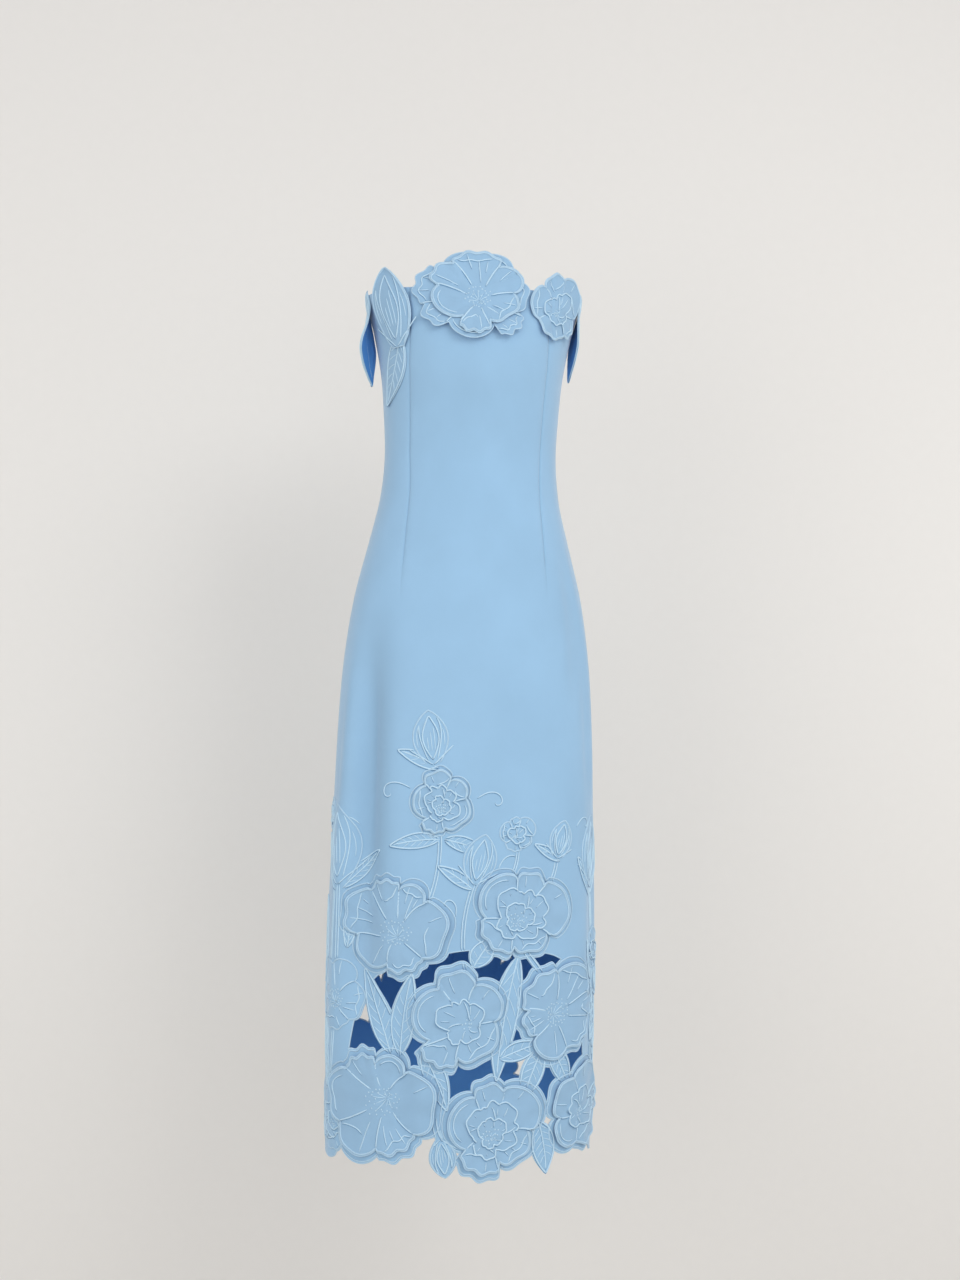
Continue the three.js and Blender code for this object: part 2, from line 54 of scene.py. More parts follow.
# A place on the cloth is (s, z) in millimetres: s is the way round from the centre front towards the
# wearer's left on a flat girth of GIRTH, and z is the height, 0 at the neckline.
GIRTH = 950.0
SIDE = GIRTH / 4
BACK = GIRTH / 2
ARC_EVEN = 0.078  # evens out the arc length round an ellipse
SQUARE = 0.035  # how far the section fills its corners
PROBE = 2.0  # half the step that a normal is measured over
CLOTH = 1.5  # wall of a panel
PETAL = 1.3  # wall of a sewn-on flower
GAP = 0.3  # between a panel and what is sewn on it
SEAM_GAP = 0.02  # between a panel's edge and its seam line
HEART_SHIFT = 0.26  # of a flower's size

# ---------------------------------------------------------------- the cut: tables

Section = namedtuple("Section", "z half front back")
SECTIONS = [Section(*row) for row in (
    (70, 141, 103, 84), (0, 144, 108, 88), (-50, 132, 120, 90), (-104, 122, 116, 85),
    (-158, 117.5, 98, 77), (-212, 115.5, 87, 74), (-266, 120.5, 89, 84), (-320, 133, 95, 100),
    (-401, 153, 102, 119), (-482, 165, 106, 127), (-563, 171, 108, 126), (-700, 176, 110, 121),
    (-833, 180, 112, 118), (-1000, 180.5, 114, 117), (-1180, 178, 116, 117),
)]

# Soft folds: each runs from (s, top) to (low_s, low); a negative depth is a ridge.
Fold = namedtuple("Fold", "s top low_s low width depth")
FOLDS = [Fold(*row) for row in (
    (-150, -430, -138, -815, 26, 5), (158, -320, 150, -560, 24, 3.5),
    (-196, -560, -188, -1100, 30, -3.5), (-96, -850, -84, -1150, 30, 6), (196, -620, 186, -1120, 30, 4),
    (330, -480, 342, -900, 30, 5), (420, -760, 410, -1140, 28, 4), (612, -430, 600, -820, 26, 4),
    (560, -800, 574, -1150, 30, -4),
)]

# Faint drag lines that the solids leave out.
CREASES = [Fold(*row) for row in (
    (-146, -380, -132, -1080, 36, 11.5), (-98, -420, -88, -1020, 44, -2.4),
    (-182, -430, -172, -1000, 24, -3.6), (168, -330, 176, -700, 15, 1.8),
    (192, -380, 200, -720, 16, -1.4), (-60, -300, -88, -480, 34, 0.8), (40, -360, 62, -640, 44, 0.9),
    (-10, -560, 4, -760, 60, -1.0), (100, -560, 108, -800, 30, 1.2), (-120, -190, -150, -330, 26, 0.9),
    (128, -180, 160, -300, 26, 0.8), (210, -240, 190, -420, 24, 0.9), (280, -220, 300, -430, 30, 1.0),
    (395, -330, 380, -620, 34, 1.2), (450, -190, 420, -330, 26, 0.8), (500, -190, 532, -330, 26, 0.9),
    (560, -330, 548, -640, 34, 1.1), (660, -230, 680, -470, 30, 1.0), (470, -480, 486, -760, 40, -1.0),
)]

# Painted shade in the hollow of the hip fold: along this band the cloth's colour is darkened; the last
# is how much.
HIP_FOLD_PAINTED_SHADE = Fold(-130, -390, -121, -880, 40, 1.0)

Dart = namedtuple("Dart", "z s")
DART_LINE = [Dart(0, 113), Dart(-100, 133), Dart(-212, 135), Dart(-401, 111), Dart(-1200, 111)]
DART_END = -407
DART_FADE = 60
SEAMS = (-SIDE, SIDE, BACK, BACK + SIDE)

# Lower edge of the plain ground; below it the flowers and leaves hold the hem.
Foot = namedtuple("Foot", "s low")
GROUND = [Foot(*row) for row in (
    (-SIDE, -1134), (-205, -1143), (-172, -1130), (-160, -1010), (-146, -925), (-110, -880),
    (-50, -862), (0, -852), (60, -856), (118, -862), (150, -905), (164, -985), (176, -1110),
    (205, -1140), (SIDE, -1134),
)]
SEAM_STRIP = {"half": 13, "high": -860, "low": -1144}

# Flowers: centre, reach of a petal, turn of the first petal, number of petals, whether a second flower
# is sewn on in front and behind, the way the heart leans, what is stitched in the middle (open with
# stamens, a cup of petals or a ring of petals round a cup), and whether it is cut out.
Bloom = namedtuple("Bloom", "name s z size turn petals front_raised back_raised lean middle tall cut",
                   defaults=(1.0, True))
BLOOMS = [
    Bloom("k", 206, -866, 28, 30, 5, False, False, 200, "cup", cut=False),
    Bloom("l", -226, -690, 22, 0, 5, False, False, 150, "cup", cut=False),
    Bloom("m", 60, -704, 24, 12, 5, False, False, 220, "cup", cut=False),
    Bloom("i", -186, -922, 52, 5, 5, False, False, 140, "open"),
    Bloom("j", -190, -1086, 46, 0, 5, False, False, 100, "ring"),
    Bloom("h", -40, -664, 46, 20, 5, True, False, 190, "ring", cut=False),
    Bloom("a", -98, -824, 76, 10, 6, True, True, 150, "open"),
    Bloom("b", 66, -806, 68, 40, 5, True, True, 215, "ring"),
    Bloom("c", -14, -942, 72, 25, 5, True, True, 120, "cup"),
    Bloom("d", 122, -936, 70, -10, 6, True, False, 250, "open"),
    Bloom("e", -116, -1056, 84, 0, 6, True, True, 60, "open"),
    Bloom("f", 34, -1080, 70, 15, 5, True, False, 200, "ring"),
    Bloom("g", 166, -1068, 68, -30, 5, True, True, 245, "cup"),
]

# The rings of inner petals of each kind of middle: how many fewer petals than the rim has, their reach
# as a part of the whole, how deep they are notched, and the turn of the first as a part of a petal.
Ring = namedtuple("Ring", "fewer reach notch turn")
RINGS = {
    "open": [],
    "cup": [Ring(2, 0.53, 0.24, 0.3)],
    "ring": [Ring(1, 0.63, 0.2, 0.37), Ring(2, 0.34, 0.14, 0.1)],
}
# Where the knots of each kind of middle lie, as parts of the way to the rim, and how many they are.
Heart = namedtuple("Heart", "start end knots")
HEARTS = {"open": Heart(0.1, 0.29, 34), "cup": Heart(0.02, 0.12, 9), "ring": Heart(0.02, 0.19, 18)}

# Buds from the foot; leaves and stems from end to end. Those marked cut bridge the openings or hang
# below the hem, and the rest are only stitched on the ground.
Bud = namedtuple("Bud", "s z length turn cut", defaults=(False,))
BUDS = [Bud(*row) for row in (
    (-34, -1096, 50, 172, True), (-52, -616, 70, -8), (4, -770, 66, 12), (-178, -778, 104, -7),
    (114, -738, 50, 14), (184, -782, 96, 6), (212, -930, 56, 8),
)]
Leaf = namedtuple("Leaf", "s z tip_s tip_z width bend cut", defaults=(False,))
LEAVES = [Leaf(*row) for row in (
    (-36, -712, 24, -732, 22, 0.16), (-42, -712, -104, -722, 22, -0.16),
    (-44, -622, -98, -598, 20, -0.14), (2, -776, -44, -746, 18, -0.14),
    (118, -742, 82, -718, 14, -0.12), (-170, -782, -118, -728, 20, 0.14),
    (-184, -786, -228, -716, 22, -0.14), (-214, -900, -226, -800, 22, 0.08),
    (-162, -860, -160, -790, 16, -0.1), (-206, -1050, -220, -960, 22, -0.1),
    (180, -792, 148, -738, 18, -0.14), (190, -792, 230, -720, 22, 0.14),
    (196, -906, 172, -850, 20, -0.1), (206, -1000, 228, -950, 18, 0.1),
    (196, -990, 206, -940, 16, -0.1), (216, -1110, 232, -1030, 20, 0.1),
    (-98, -990, -138, -884, 32, -0.12, True), (-86, -992, -72, -884, 32, 0.1, True),
    (4, -876, 30, -838, 30, 0.1, True), (62, -862, 36, -1024, 36, -0.1, True),
    (-58, -984, -26, -1060, 30, 0.12, True), (96, -982, 70, -1052, 30, -0.1, True),
    (106, -982, 136, -1040, 28, 0.1, True), (40, -994, 94, -976, 26, 0.1, True),
    (92, -1078, 104, -1146, 34, 0.12, True),
)]
Stem = namedtuple("Stem", "s z end_s end_z bow width cut", defaults=(False,))
STEMS = [Stem(*row) for row in (
    (-34, -1100, -42, -1070, 2, 7, True), (66, -850, 92, -886, 0, 7, True),
    (-42, -706, -56, -800, 5, 5), (-50, -612, -44, -640, 1, 5), (4, -766, -6, -880, -8, 5),
    (114, -734, 98, -780, 3, 5), (-178, -772, -196, -1040, 8, 6), (-186, -780, -212, -1050, 4, 5),
    (-214, -896, -206, -1000, -3, 4), (184, -776, 196, -1020, 8, 6), (192, -786, 206, -1010, 4, 4),
    (212, -926, 204, -1060, 5, 5), (60, -716, 52, -760, 3, 4),
)]
Tendril = namedtuple("Tendril", "s z size turn curl")
TENDRILS = [Tendril(*row) for row in (
    (-78, -648, 70, -60, -1), (4, -660, 66, 55, 1), (-154, -700, 50, -40, -1), (146, -700, 54, 40, 1),
    (34, -752, 56, 20, 1), (-226, -1000, 60, 14, 1), (-20, -812, 46, 10, -1),
)]

# ---------------------------------------------------------------- the dress surface


def mix(a, b, t):
    return a + (b - a) * t


def smooth(t):
    t = np.clip(t, 0.0, 1.0)
    return t * t * (3 - 2 * t)


def through(rows, column, z):
    """Value of a column at heights z, smoothly through rows that go downwards."""
    heights = np.array([row.z for row in rows], float)
    values = np.array([getattr(row, column) for row in rows], float)
    last = len(rows) - 1
    around = [(max(0, k - 1), min(last, k + 1)) for k in range(last + 1)]
    slopes = np.array([(values[b] - values[a]) / (heights[b] - heights[a]) for a, b in around])
    i = np.clip(np.searchsorted(-heights, -z, side="right") - 1, 0, last - 1)
    run = heights[i + 1] - heights[i]
    t = np.clip((z - heights[i]) / run, 0, 1)
    bend = t * (1 - t) * run
    return mix(values[i], values[i + 1], smooth(t)) + bend * ((1 - t) * slopes[i] - t * slopes[i + 1])


def dart_s(z):
    return np.interp(-z, [-row.z for row in DART_LINE], [row.s for row in DART_LINE])


def bell(t):
    return np.where(np.abs(t) < 1, 0.5 + 0.5 * np.cos(np.pi * np.clip(t, -1, 1)), 0.0)


def wrapped(s):
    return s - GIRTH * np.round(s / GIRTH)


def fold_relief(folds, s, z):
    out = np.zeros_like(s)
    for fold in folds:
        t = (z - fold.top) / (fold.low - fold.top)
        side = wrapped(s - mix(fold.s, fold.low_s, np.clip(t, 0, 1))) / fold.width
        out -= fold.depth * bell(side) * smooth(3 * t) * smooth(3 * (1 - t))
    return out


def seam_relief(s, z):
    """Fine valleys along the darts and seams."""
    off = np.abs(np.abs(wrapped(s)) - dart_s(z))
    shut = np.clip((z - DART_END) / DART_FADE, 0, 1)
    out = -0.8 * np.clip(1 - off / 5, 0, 1) * shut - 0.8 * np.exp(-(off / 1.3) ** 2) * shut
    for seam in SEAMS[:3]:
        off = np.abs(wrapped(s - seam))
        out -= 0.9 * np.exp(-(off / 1.8) ** 2) + 0.35 * np.exp(-(off / 6) ** 2)
    return out


def relief(s, z):
    return fold_relief(FOLDS, s, z) + fold_relief(CREASES, s, z) + seam_relief(s, z)


def seam_dim(s, z):
    """Painted shade: how much the cloth's colour is darkened along the seams and darts and in the
    hollow of the hip fold.
    """
    off = np.abs(np.abs(wrapped(s)) - dart_s(z))
    out = np.exp(-(off / 1.3) ** 2) * np.clip((z - DART_END) / DART_FADE, 0, 1)
    # painted shade in the hollow of the hip fold
    out = np.maximum(out, -fold_relief([HIP_FOLD_PAINTED_SHADE], s, z))
    for seam in SEAMS[:3]:
        out = np.maximum(out, np.exp(-(wrapped(s - seam) / 1.6) ** 2))
    return out


def section(s, z):
    tau = 2 * np.pi * s / GIRTH
    angle = tau - ARC_EVEN * np.sin(2 * tau)
    full = 1 + SQUARE * np.sin(2 * angle) ** 2
    depth = np.where(np.cos(angle) > 0, through(SECTIONS, "front", z), through(SECTIONS, "back", z))
    half = through(SECTIONS, "half", z)
    return np.stack([half * full * np.sin(angle), -depth * full * np.cos(angle), z], -1)


def normal_of(s, z):
    round_way = section(s + PROBE, z) - section(s - PROBE, z)
    up_way = section(s, z + PROBE) - section(s, z - PROBE)
    normal = np.cross(round_way, up_way)
    return normal / np.linalg.norm(normal, axis=-1, keepdims=True)


def cloth(s, z, out=0.0):
    """Points out millimetres off the cloth's outer face."""
    s, z = np.asarray(s, float), np.asarray(z, float)
    lifted = np.broadcast_to(np.asarray(out, float), s.shape) + relief(s, z)
    return section(s, z) + normal_of(s, z) * lifted[..., None]


# ---------------------------------------------------------------- motifs, as outlines in (s, z)


def placed(points, s, z, turn):
    points = np.asarray(points, float)
    c, d = math.cos(math.radians(turn)), math.sin(math.radians(turn))
    x, y = points[:, 0], points[:, 1]
    return np.stack([s + x * c + y * d, z - x * d + y * c], -1)


def petal_starts(row):
    """Where each petal starts, as a share of the full turn, with the end added."""
    phase = 0.01 * row.s
    widths = 1 + 0.34 * np.sin(2.6 * np.arange(row.petals) + 1.3 * phase)
    return np.concatenate([[0.0], np.cumsum(widths) / widths.sum()])


def bloom_reach(row, share):
    """Reach of the rim at a share of the full turn from the first petal, and the petal's own places."""
    starts = petal_starts(row)
    share = np.mod(share, 1.0)
    k = np.clip(np.searchsorted(starts, share, side="right") - 1, 0, row.petals - 1)
    across = 2 * (share - starts[k]) / (starts[k + 1] - starts[k]) - 1
    long = 1 + 0.08 * np.sin(3.9 * k + 2 * 0.01 * row.s)
    lobe = 1 - (0.15 + 0.05 * np.sin(2.2 * k)) * np.abs(across) ** 3.5
    ruffle = 0.97 + 0.03 * np.cos((1 + k % 3) * np.pi * (across + 0.3 * np.sin(k)))
    return row.size * long * lobe * ruffle, k, across


def heart(row):
    """How far the middle of a drawn flower lies off its centre, as if seen from one side."""
    way = math.radians(row.lean)
    return HEART_SHIFT * row.size * math.sin(way), HEART_SHIFT * row.size * math.cos(way)


def bloom_place(row, share, part):
    """Places at a share of the turn and a part of the way from the heart to the rim."""
    reach, _, _ = bloom_reach(row, share)
    angle = 2 * np.pi * share + math.radians(row.turn)
    heart_s, heart_z = heart(row)
    left = (1 - part) ** 2
    return np.stack([row.s + part * reach * np.sin(angle) + left * heart_s,
                     row.z + row.tall * (part * reach * np.cos(angle) + left * heart_z)], -1)


def bloom_polar(row, s, z):
    """The share of the turn and the part of the way to the rim of places (s, z)."""
    heart_s, heart_z = heart(row)
    part = np.ones_like(s)
    for _ in range(6):
        left = (1 - np.clip(part, 0, 1)) ** 2
        ds, dz = s - row.s - left * heart_s, (z - row.z) / row.tall - left * heart_z
        share = np.mod((np.arctan2(ds, dz) - math.radians(row.turn)) / (2 * np.pi), 1.0)
        reach, _, _ = bloom_reach(row, share)
        part = np.hypot(ds, dz) / reach
    return share, part


def bloom_rim(row, steps=24):
    starts = petal_starts(row)
    shares = np.concatenate([np.linspace(start, end, steps, endpoint=False)
                             for start, end in zip(starts, starts[1:])])
    return bloom_place(row, shares, 1.0)


def spine(row):
    """The length, turn and bend of a bud's or leaf's middle line, and its half width along it."""
    if isinstance(row, Bud):
        return (row.length, row.turn, 0.0,
                lambda t: 0.34 * row.length * np.sin(np.pi * (0.1 + 0.9 * t) ** 1.15) ** 0.75)
    ahead_s, ahead_z = row.tip_s - row.s, row.tip_z - row.z
    turn = math.degrees(math.atan2(ahead_s, ahead_z) - math.atan(row.bend))
    return (math.hypot(ahead_s, ahead_z) / math.hypot(1, row.bend), turn, row.bend,
            lambda t: row.width / 2 * np.sin(np.pi * t ** 0.85) ** 0.85)


def along(row, t, across):
    """Places a share t along a bud or leaf and across it, from -1 to 1 at its edges."""
    length, turn, bend, half_at = spine(row)
    t = np.asarray(t, float)
    x = bend * length * t * t + across * half_at(np.clip(t, 0, 1))
    return placed(np.stack([x, length * t], -1), row.s, row.z, turn)


def round_tip(row, t, across, tip=1.0):
    """A line up one side of a bud or leaf, round its tip and down the other side."""
    return np.concatenate([along(row, t, across), along(row, np.array([tip]), 0.0),
                           along(row, t[::-1], -across)])


def bud_rim(row, steps=14):
    return round_tip(row, np.arange(steps) / steps, 1.0)


def leaf_rim(row, steps=16):
    foot = along(row, np.array([0.0]), 0.0)
    return np.concatenate([foot, round_tip(row, np.arange(1, steps) / steps, 1.0)])


def stem_places(row, t, side):
    """Places a share t along a stem, on its middle or at a side, from -1 to 1."""
    reach = math.hypot(row.end_s - row.s, row.end_z - row.z)
    side_s, side_z = -(row.end_z - row.z) / reach, (row.end_s - row.s) / reach
    out = 4 * row.bow * t * (1 - t) + side * row.width / 2
    return np.stack([mix(row.s, row.end_s, t) + side_s * out,
                     mix(row.z, row.end_z, t) + side_z * out], -1)


def stem_rim(row, steps=8):
    t = np.arange(steps + 1) / steps
    return np.concatenate([stem_places(row, t, 1), stem_places(row, t, -1)[::-1]])


RIMS = {"Bloom": bloom_rim, "Bud": bud_rim, "Leaf": leaf_rim, "Stem": stem_rim}


def rim_of(row):
    return RIMS[type(row).__name__](row)


def carried(row):
    """The same motif carried round to the back."""
    turned = {column: BACK - getattr(row, column) for column in ("s", "tip_s", "end_s")
              if hasattr(row, column)}
    flipped = {column: -getattr(row, column) for column in ("bend", "bow", "turn", "lean", "curl")
               if hasattr(row, column)}
    return row._replace(**turned, **flipped)


# Lowest first: a motif hides what it lies over.
FRONT_MOTIFS = [*STEMS, *LEAVES, *BUDS, *BLOOMS]
BACK_MOTIFS = [carried(row) for row in FRONT_MOTIFS]


# ---------------------------------------------------------------- cutting the cloth flat

LOWER_CLOTH = -600  # the stitched part of the skirt has the finer net
NET_LOW = -1139  # lowest point of the net's guide lines
FILL_LOW = -1160  # the even points end here, below the hem
GROUND_STEP = 4.0  # between points along the ground's outline
MOTIF_STEP = 2.6  # between points along the outline of a motif that is cut out
ROW = math.sqrt(0.75)  # between rows of even points, as a part of their pitch


def spaced(points, step, closed=False):
    """A line with points evenly spaced along it."""
    points = np.asarray(points, float)
    if closed:
        points = np.concatenate([points, points[:1]])
    lengths = np.concatenate([[0], np.cumsum(np.linalg.norm(np.diff(points, axis=0), axis=1))])
    count = max(2, int(round(lengths[-1] / step)) + 1)
    at = np.linspace(0, lengths[-1], count)
    line = np.stack([np.interp(at, lengths, points[:, 0]), np.interp(at, lengths, points[:, 1])], -1)
    return line[:-1] if closed else line


def outline_of(points, step):
    """A closed outline, evenly spaced and running anticlockwise."""
    line = spaced(points, step, closed=True)
    x, y = line[:, 0], line[:, 1]
    turn = (x * np.roll(y, -1) - y * np.roll(x, -1)).sum()
    return line if turn > 0 else line[::-1]


def ground_outlines():
    front = [(row.s, row.low) for row in GROUND]
    strip = SEAM_STRIP
    behind = [(BACK - row.s, row.low) for row in GROUND if abs(row.s) > strip["half"] + 1]
    behind += [(BACK + side * (strip["half"] + extra), low) for side in (-1, 1)
               for extra, low in ((1, strip["high"]), (0, strip["low"]))]
    behind.sort()
    outlines = []
    for foot, left, right in ((front, -SIDE, SIDE), (behind, SIDE, BACK + SIDE)):
        low = rounded(foot)
        outlines.append(np.concatenate([[(left, 0.0)], low, [(right, 0.0)]]))
    return outlines


def rounded(points, step=3.0):
    """A line of corners with each corner cut twice, so that it runs smoothly."""
    points = np.asarray(points, float)
    for _ in range(2):
        near = points[:-1] * 0.75 + points[1:] * 0.25
        far = points[:-1] * 0.25 + points[1:] * 0.75
        inner = np.stack([near, far], 1).reshape(-1, 2)
        points = np.concatenate([points[:1], inner, points[-1:]])
    return spaced(points, step)


def guide_lines():
    """Lines that the net follows: seams, darts and the valleys beside them."""
    both, down = (-5, -1.6, 0, 1.6, 5), np.arange(0, NET_LOW, -6)
    beside_seams = ((SEAMS[1], both), (SEAMS[2], both), (SEAMS[0], (1.6, 5)), (SEAMS[3], (-1.6, -5)))
    lines = [[(seam + off, z) for z in down] for seam, offs in beside_seams for off in offs]
    down = np.linspace(0, DART_END, 70)
    return lines + [[(side * dart_s(z) + off, z) for z in down]
                    for side in (-1, 1) for off in (-5, -1.5, 0, 1.5, 5)]


def lattice(pitch_high, pitch_low):
    """Even points over the whole cloth, finer over the stitched part."""
    chunks = []
    for pitch, top, low in ((pitch_high, -2.0, LOWER_CLOTH), (pitch_low, LOWER_CLOTH - 2, FILL_LOW)):
        for i, z in enumerate(np.arange(top, low, -pitch * ROW)):
            s = np.arange(-SIDE + pitch * (0.5 + 0.5 * (i % 2)), BACK + SIDE - 0.4 * pitch, pitch)
            chunks.append(np.stack([s, np.full_like(s, z)], -1))
    return np.concatenate(chunks)


def net_of(outlines, lines, fill, clear):
    """A net of triangles inside outlines and along lines, with even points that stay clear of both."""
    points, spans = [], []
    for line in [*outlines, *lines]:
        spans.append(list(range(len(points), len(points) + len(line))))
        points += [(float(s), float(z)) for s, z in line]
    faces = spans[:len(outlines)]
    edges = [pair for span in spans[len(outlines):] for pair in zip(span, span[1:])]
    near = kdtree.KDTree(len(points))
    for i, (s, z) in enumerate(points):
        near.insert((s, z, 0), i)
    near.balance()
    points += [(float(s), float(z)) for s, z in fill if near.find((s, z, 0))[2] > clear(z)]
    cut = delaunay_2d_cdt([Vector(p) for p in points], edges, faces, 0, 1e-4, True)
    places = np.array([tuple(p) for p in cut[0]])
    triangles = np.array([face for face, origin in zip(cut[2], cut[5]) if origin])
    return places, turned_out(places, triangles)


@cache
def cut_flat(pitch_high, pitch_low):
    """Cuts the whole cloth flat as one triangle net, with its openings, from its outlines."""
    outlines = [outline_of(outline, GROUND_STEP) for outline in ground_outlines()]
    outlines += [outline_of(rim_of(row), MOTIF_STEP) for row in [*FRONT_MOTIFS, *BACK_MOTIFS]
                 if row.cut]
    places, triangles = net_of(outlines, guide_lines(), lattice(pitch_high, pitch_low),
                               lambda z: 0.5 * (pitch_high if z > LOWER_CLOTH else pitch_low))
    middle = places[triangles].mean(1)[:, 0]
    return places, triangles[(middle > -SIDE) & (middle < BACK + SIDE)]


def turned_out(places, triangles):
    """The triangles, each turned to face out of the dress."""
    a, b, c = (places[triangles[:, k]] for k in range(3))
    turn = (b[:, 0] - a[:, 0]) * (c[:, 1] - a[:, 1]) - (b[:, 1] - a[:, 1]) * (c[:, 0] - a[:, 0])
    triangles[turn < 0] = triangles[turn < 0][:, ::-1]
    return triangles


def border_pairs(triangles):
    """Edges that only one triangle has, in that triangle's direction."""
    pairs = np.concatenate([triangles[:, [0, 1]], triangles[:, [1, 2]], triangles[:, [2, 0]]])
    keys = np.sort(pairs, axis=1)
    size = int(pairs.max()) + 1
    codes = keys[:, 0].astype(np.int64) * size + keys[:, 1]
    _, first, counts = np.unique(codes, return_index=True, return_counts=True)
    return pairs[first[counts == 1]]


def chains(pairs):
    """Joins directed edges end to end, as lists of indices; a closed one ends where it starts."""
    following = {}
    for a, b in pairs.tolist():
        following.setdefault(a, []).append(b)
    starts = set(following) - {b for ends in following.values() for b in ends}
    lines = []
    pending = sorted(starts) + sorted(set(following) - starts)
    for start in pending:
        while following.get(start):
            line = [start]
            while following.get(line[-1]):
                line.append(following[line[-1]].pop())
            lines.append(line)
    return lines


def cloth_net():
    """The flat net of the whole cloth, cut once and shared by the panels."""
    sizes = settings()[0]
    return cut_flat(sizes.net_high * 1000, sizes.net_low * 1000)


# ---------------------------------------------------------------- relief of the stitched motifs


def within(places, outline):
    """Whether each place lies inside a closed outline."""
    x, y = places[:, 0:1], places[:, 1:2]
    x0, y0 = outline[:, 0], outline[:, 1]
    x1, y1 = np.roll(x0, -1), np.roll(y0, -1)
    crosses = (y0 > y) != (y1 > y)
    with np.errstate(divide="ignore", invalid="ignore"):
        at = x0 + (y - y0) * (x1 - x0) / (y1 - y0)
    return (crosses & (x < at)).sum(1) % 2 == 1


def along_and_across(row, s, z):
    """How far along a bud or leaf each place lies, from 0 to 1, and how far across it."""
    length, turn, bend, half_at = spine(row)
    c, d = math.cos(math.radians(turn)), math.sin(math.radians(turn))
    x = (s - row.s) * c - (z - row.z) * d
    t = np.clip(((s - row.s) * d + (z - row.z) * c) / length, 0, 1)
    return t, (x - bend * length * t * t) / np.maximum(half_at(t), 0.1)


def ring_part(row, ring, share):
    """How far out a ring of inner petals reaches at a share of the turn, and where across its petal."""
    across = 2 * np.mod(share * (row.petals - ring.fewer) + ring.turn, 1.0) - 1
    uneven = 1 + 0.07 * np.sin(4 * np.pi * share + row.s) + 0.025 * np.sin(22 * np.pi * share)
    return ring.reach * (1 - ring.notch * np.abs(across) ** 3) * uneven, across


def petal_relief(row, s, z):
    """Petals that overlap, with rings of inner petals standing higher and a hollow heart."""
    share, part = bloom_polar(row, s, z)
    _, k, across = bloom_reach(row, share)
    out = 0.5 * np.cos(0.5 * np.pi * across) + 0.5 * across
    out += 0.5 * np.sin(2.6 * np.pi * across + 1.7 * k) * np.clip(part, 0, 1) ** 3
    out -= 0.35 * bell((part - 0.62) / 0.3) * np.cos(1.9 * k)
    for i, ring in enumerate(RINGS[row.middle]):
        edge, inner_across = ring_part(row, ring, share)
        inner = 0.75 + 0.35 * i + 0.4 * np.cos(0.5 * np.pi * inner_across) + 0.35 * inner_across
        out = mix(inner, out, smooth((part - edge) / 0.05))
    return out - 0.6 * bell(part / 0.26)


def leaf_relief(row, s, z):
    t, across = along_and_across(row, s, z)
    side = np.abs(np.clip(across, -1, 1))
    veins = 0.18 * np.sin(2 * np.pi * (5.5 * t - 1.1 * side))
    return (0.8 + veins) * np.sqrt(np.clip(side, 0, 1)) * (1 - side ** 5)


def bud_relief(row, s, z):
    t, across = along_and_across(row, s, z)
    side = np.abs(np.clip(across, -1, 1))
    middle = 0.6 * np.sqrt(np.clip(1 - (side / 0.45) ** 2, 0, 1))
    return (0.7 * (1 - side ** 4) + middle) * smooth(4 * (1 - t))


def puff(s, z, motifs, raised):
    """How far padded stitching lifts the panel's cloth inside the motifs."""
    out = np.zeros_like(s)
    for row in motifs:
        if isinstance(row, Stem):
            continue
        rim = rim_of(row)
        low, high = rim.min(0), rim.max(0)
        near = np.flatnonzero((s > low[0]) & (s < high[0]) & (z > low[1]) & (z < high[1]))
        near = near[within(np.stack([s[near], z[near]], -1), rim)] if len(near) else near
        if not len(near):
            continue
        own = row, s[near], z[near]
        if row in raised:
            out[near] = 0
        elif isinstance(row, Bloom):
            fade = 1 - np.clip(bloom_polar(*own)[1], 0, 1) ** 8
            out[near] = (0.5 + petal_relief(*own)) * fade
        else:
            out[near] = leaf_relief(*own) if isinstance(row, Leaf) else bud_relief(*own)
    return out


# ---------------------------------------------------------------- stitched lines

Line = namedtuple("Line", "places width closed", defaults=(False,))
STITCH = 2.2  # length of a straight step of a stitched line
RIM_PART = 0.965  # how far out the stitching along a flower's rim runs


def petal_lines(row, k, start, wide, inner):
    """What is stitched on one outer petal: where it meets the next, a folded lip and its veins."""
    part = np.linspace(RIM_PART, inner, 14)
    sway = 0.2 * math.sin(2.1 * k + row.s) * (RIM_PART - part)
    lines = [Line(bloom_place(row, start + wide * sway, part), 2.0)]
    kind = (k + row.petals + abs(int(row.s))) % 4
    t = np.linspace(0, 1, 20)
    ripple = 0.04 * np.sin(3 * np.pi * t)
    lips = {0: (mix(0.1, 0.8, t), 0.93 - 0.17 * np.sin(np.pi * t) ** 1.4 - ripple, 1.8),
            1: (0.92 - 0.5 * t ** 1.4, 0.9 - 0.3 * np.sin(0.62 * np.pi * t), 1.8),
            2: (mix(0.16, 0.84, t), 0.88 - 0.05 * (2 * t - 1) ** 2, 1.6)}
    if kind in lips:
        at, lip, width = lips[kind]
        lines.append(Line(bloom_place(row, start + wide * at, lip), width))
    for at, low in ((0.3, 0.6), (0.52, 0.5), (0.72, 0.66)):
        low = mix(inner, 0.86, low * (0.5 + 0.5 * math.sin(5 * k + 9 * at)) ** 0.5)
        high = 0.8 if kind in (0, 1) and at > 0.4 else 0.92
        if kind == 2 or high - low < 0.12 or (kind in (1, 3) and at > 0.4):
            continue
        part = np.linspace(high, low, 10)
        lines.append(Line(bloom_place(row, start + wide * (at + 0.3 * (0.95 - part) ** 2), part), 1.5))
    return lines


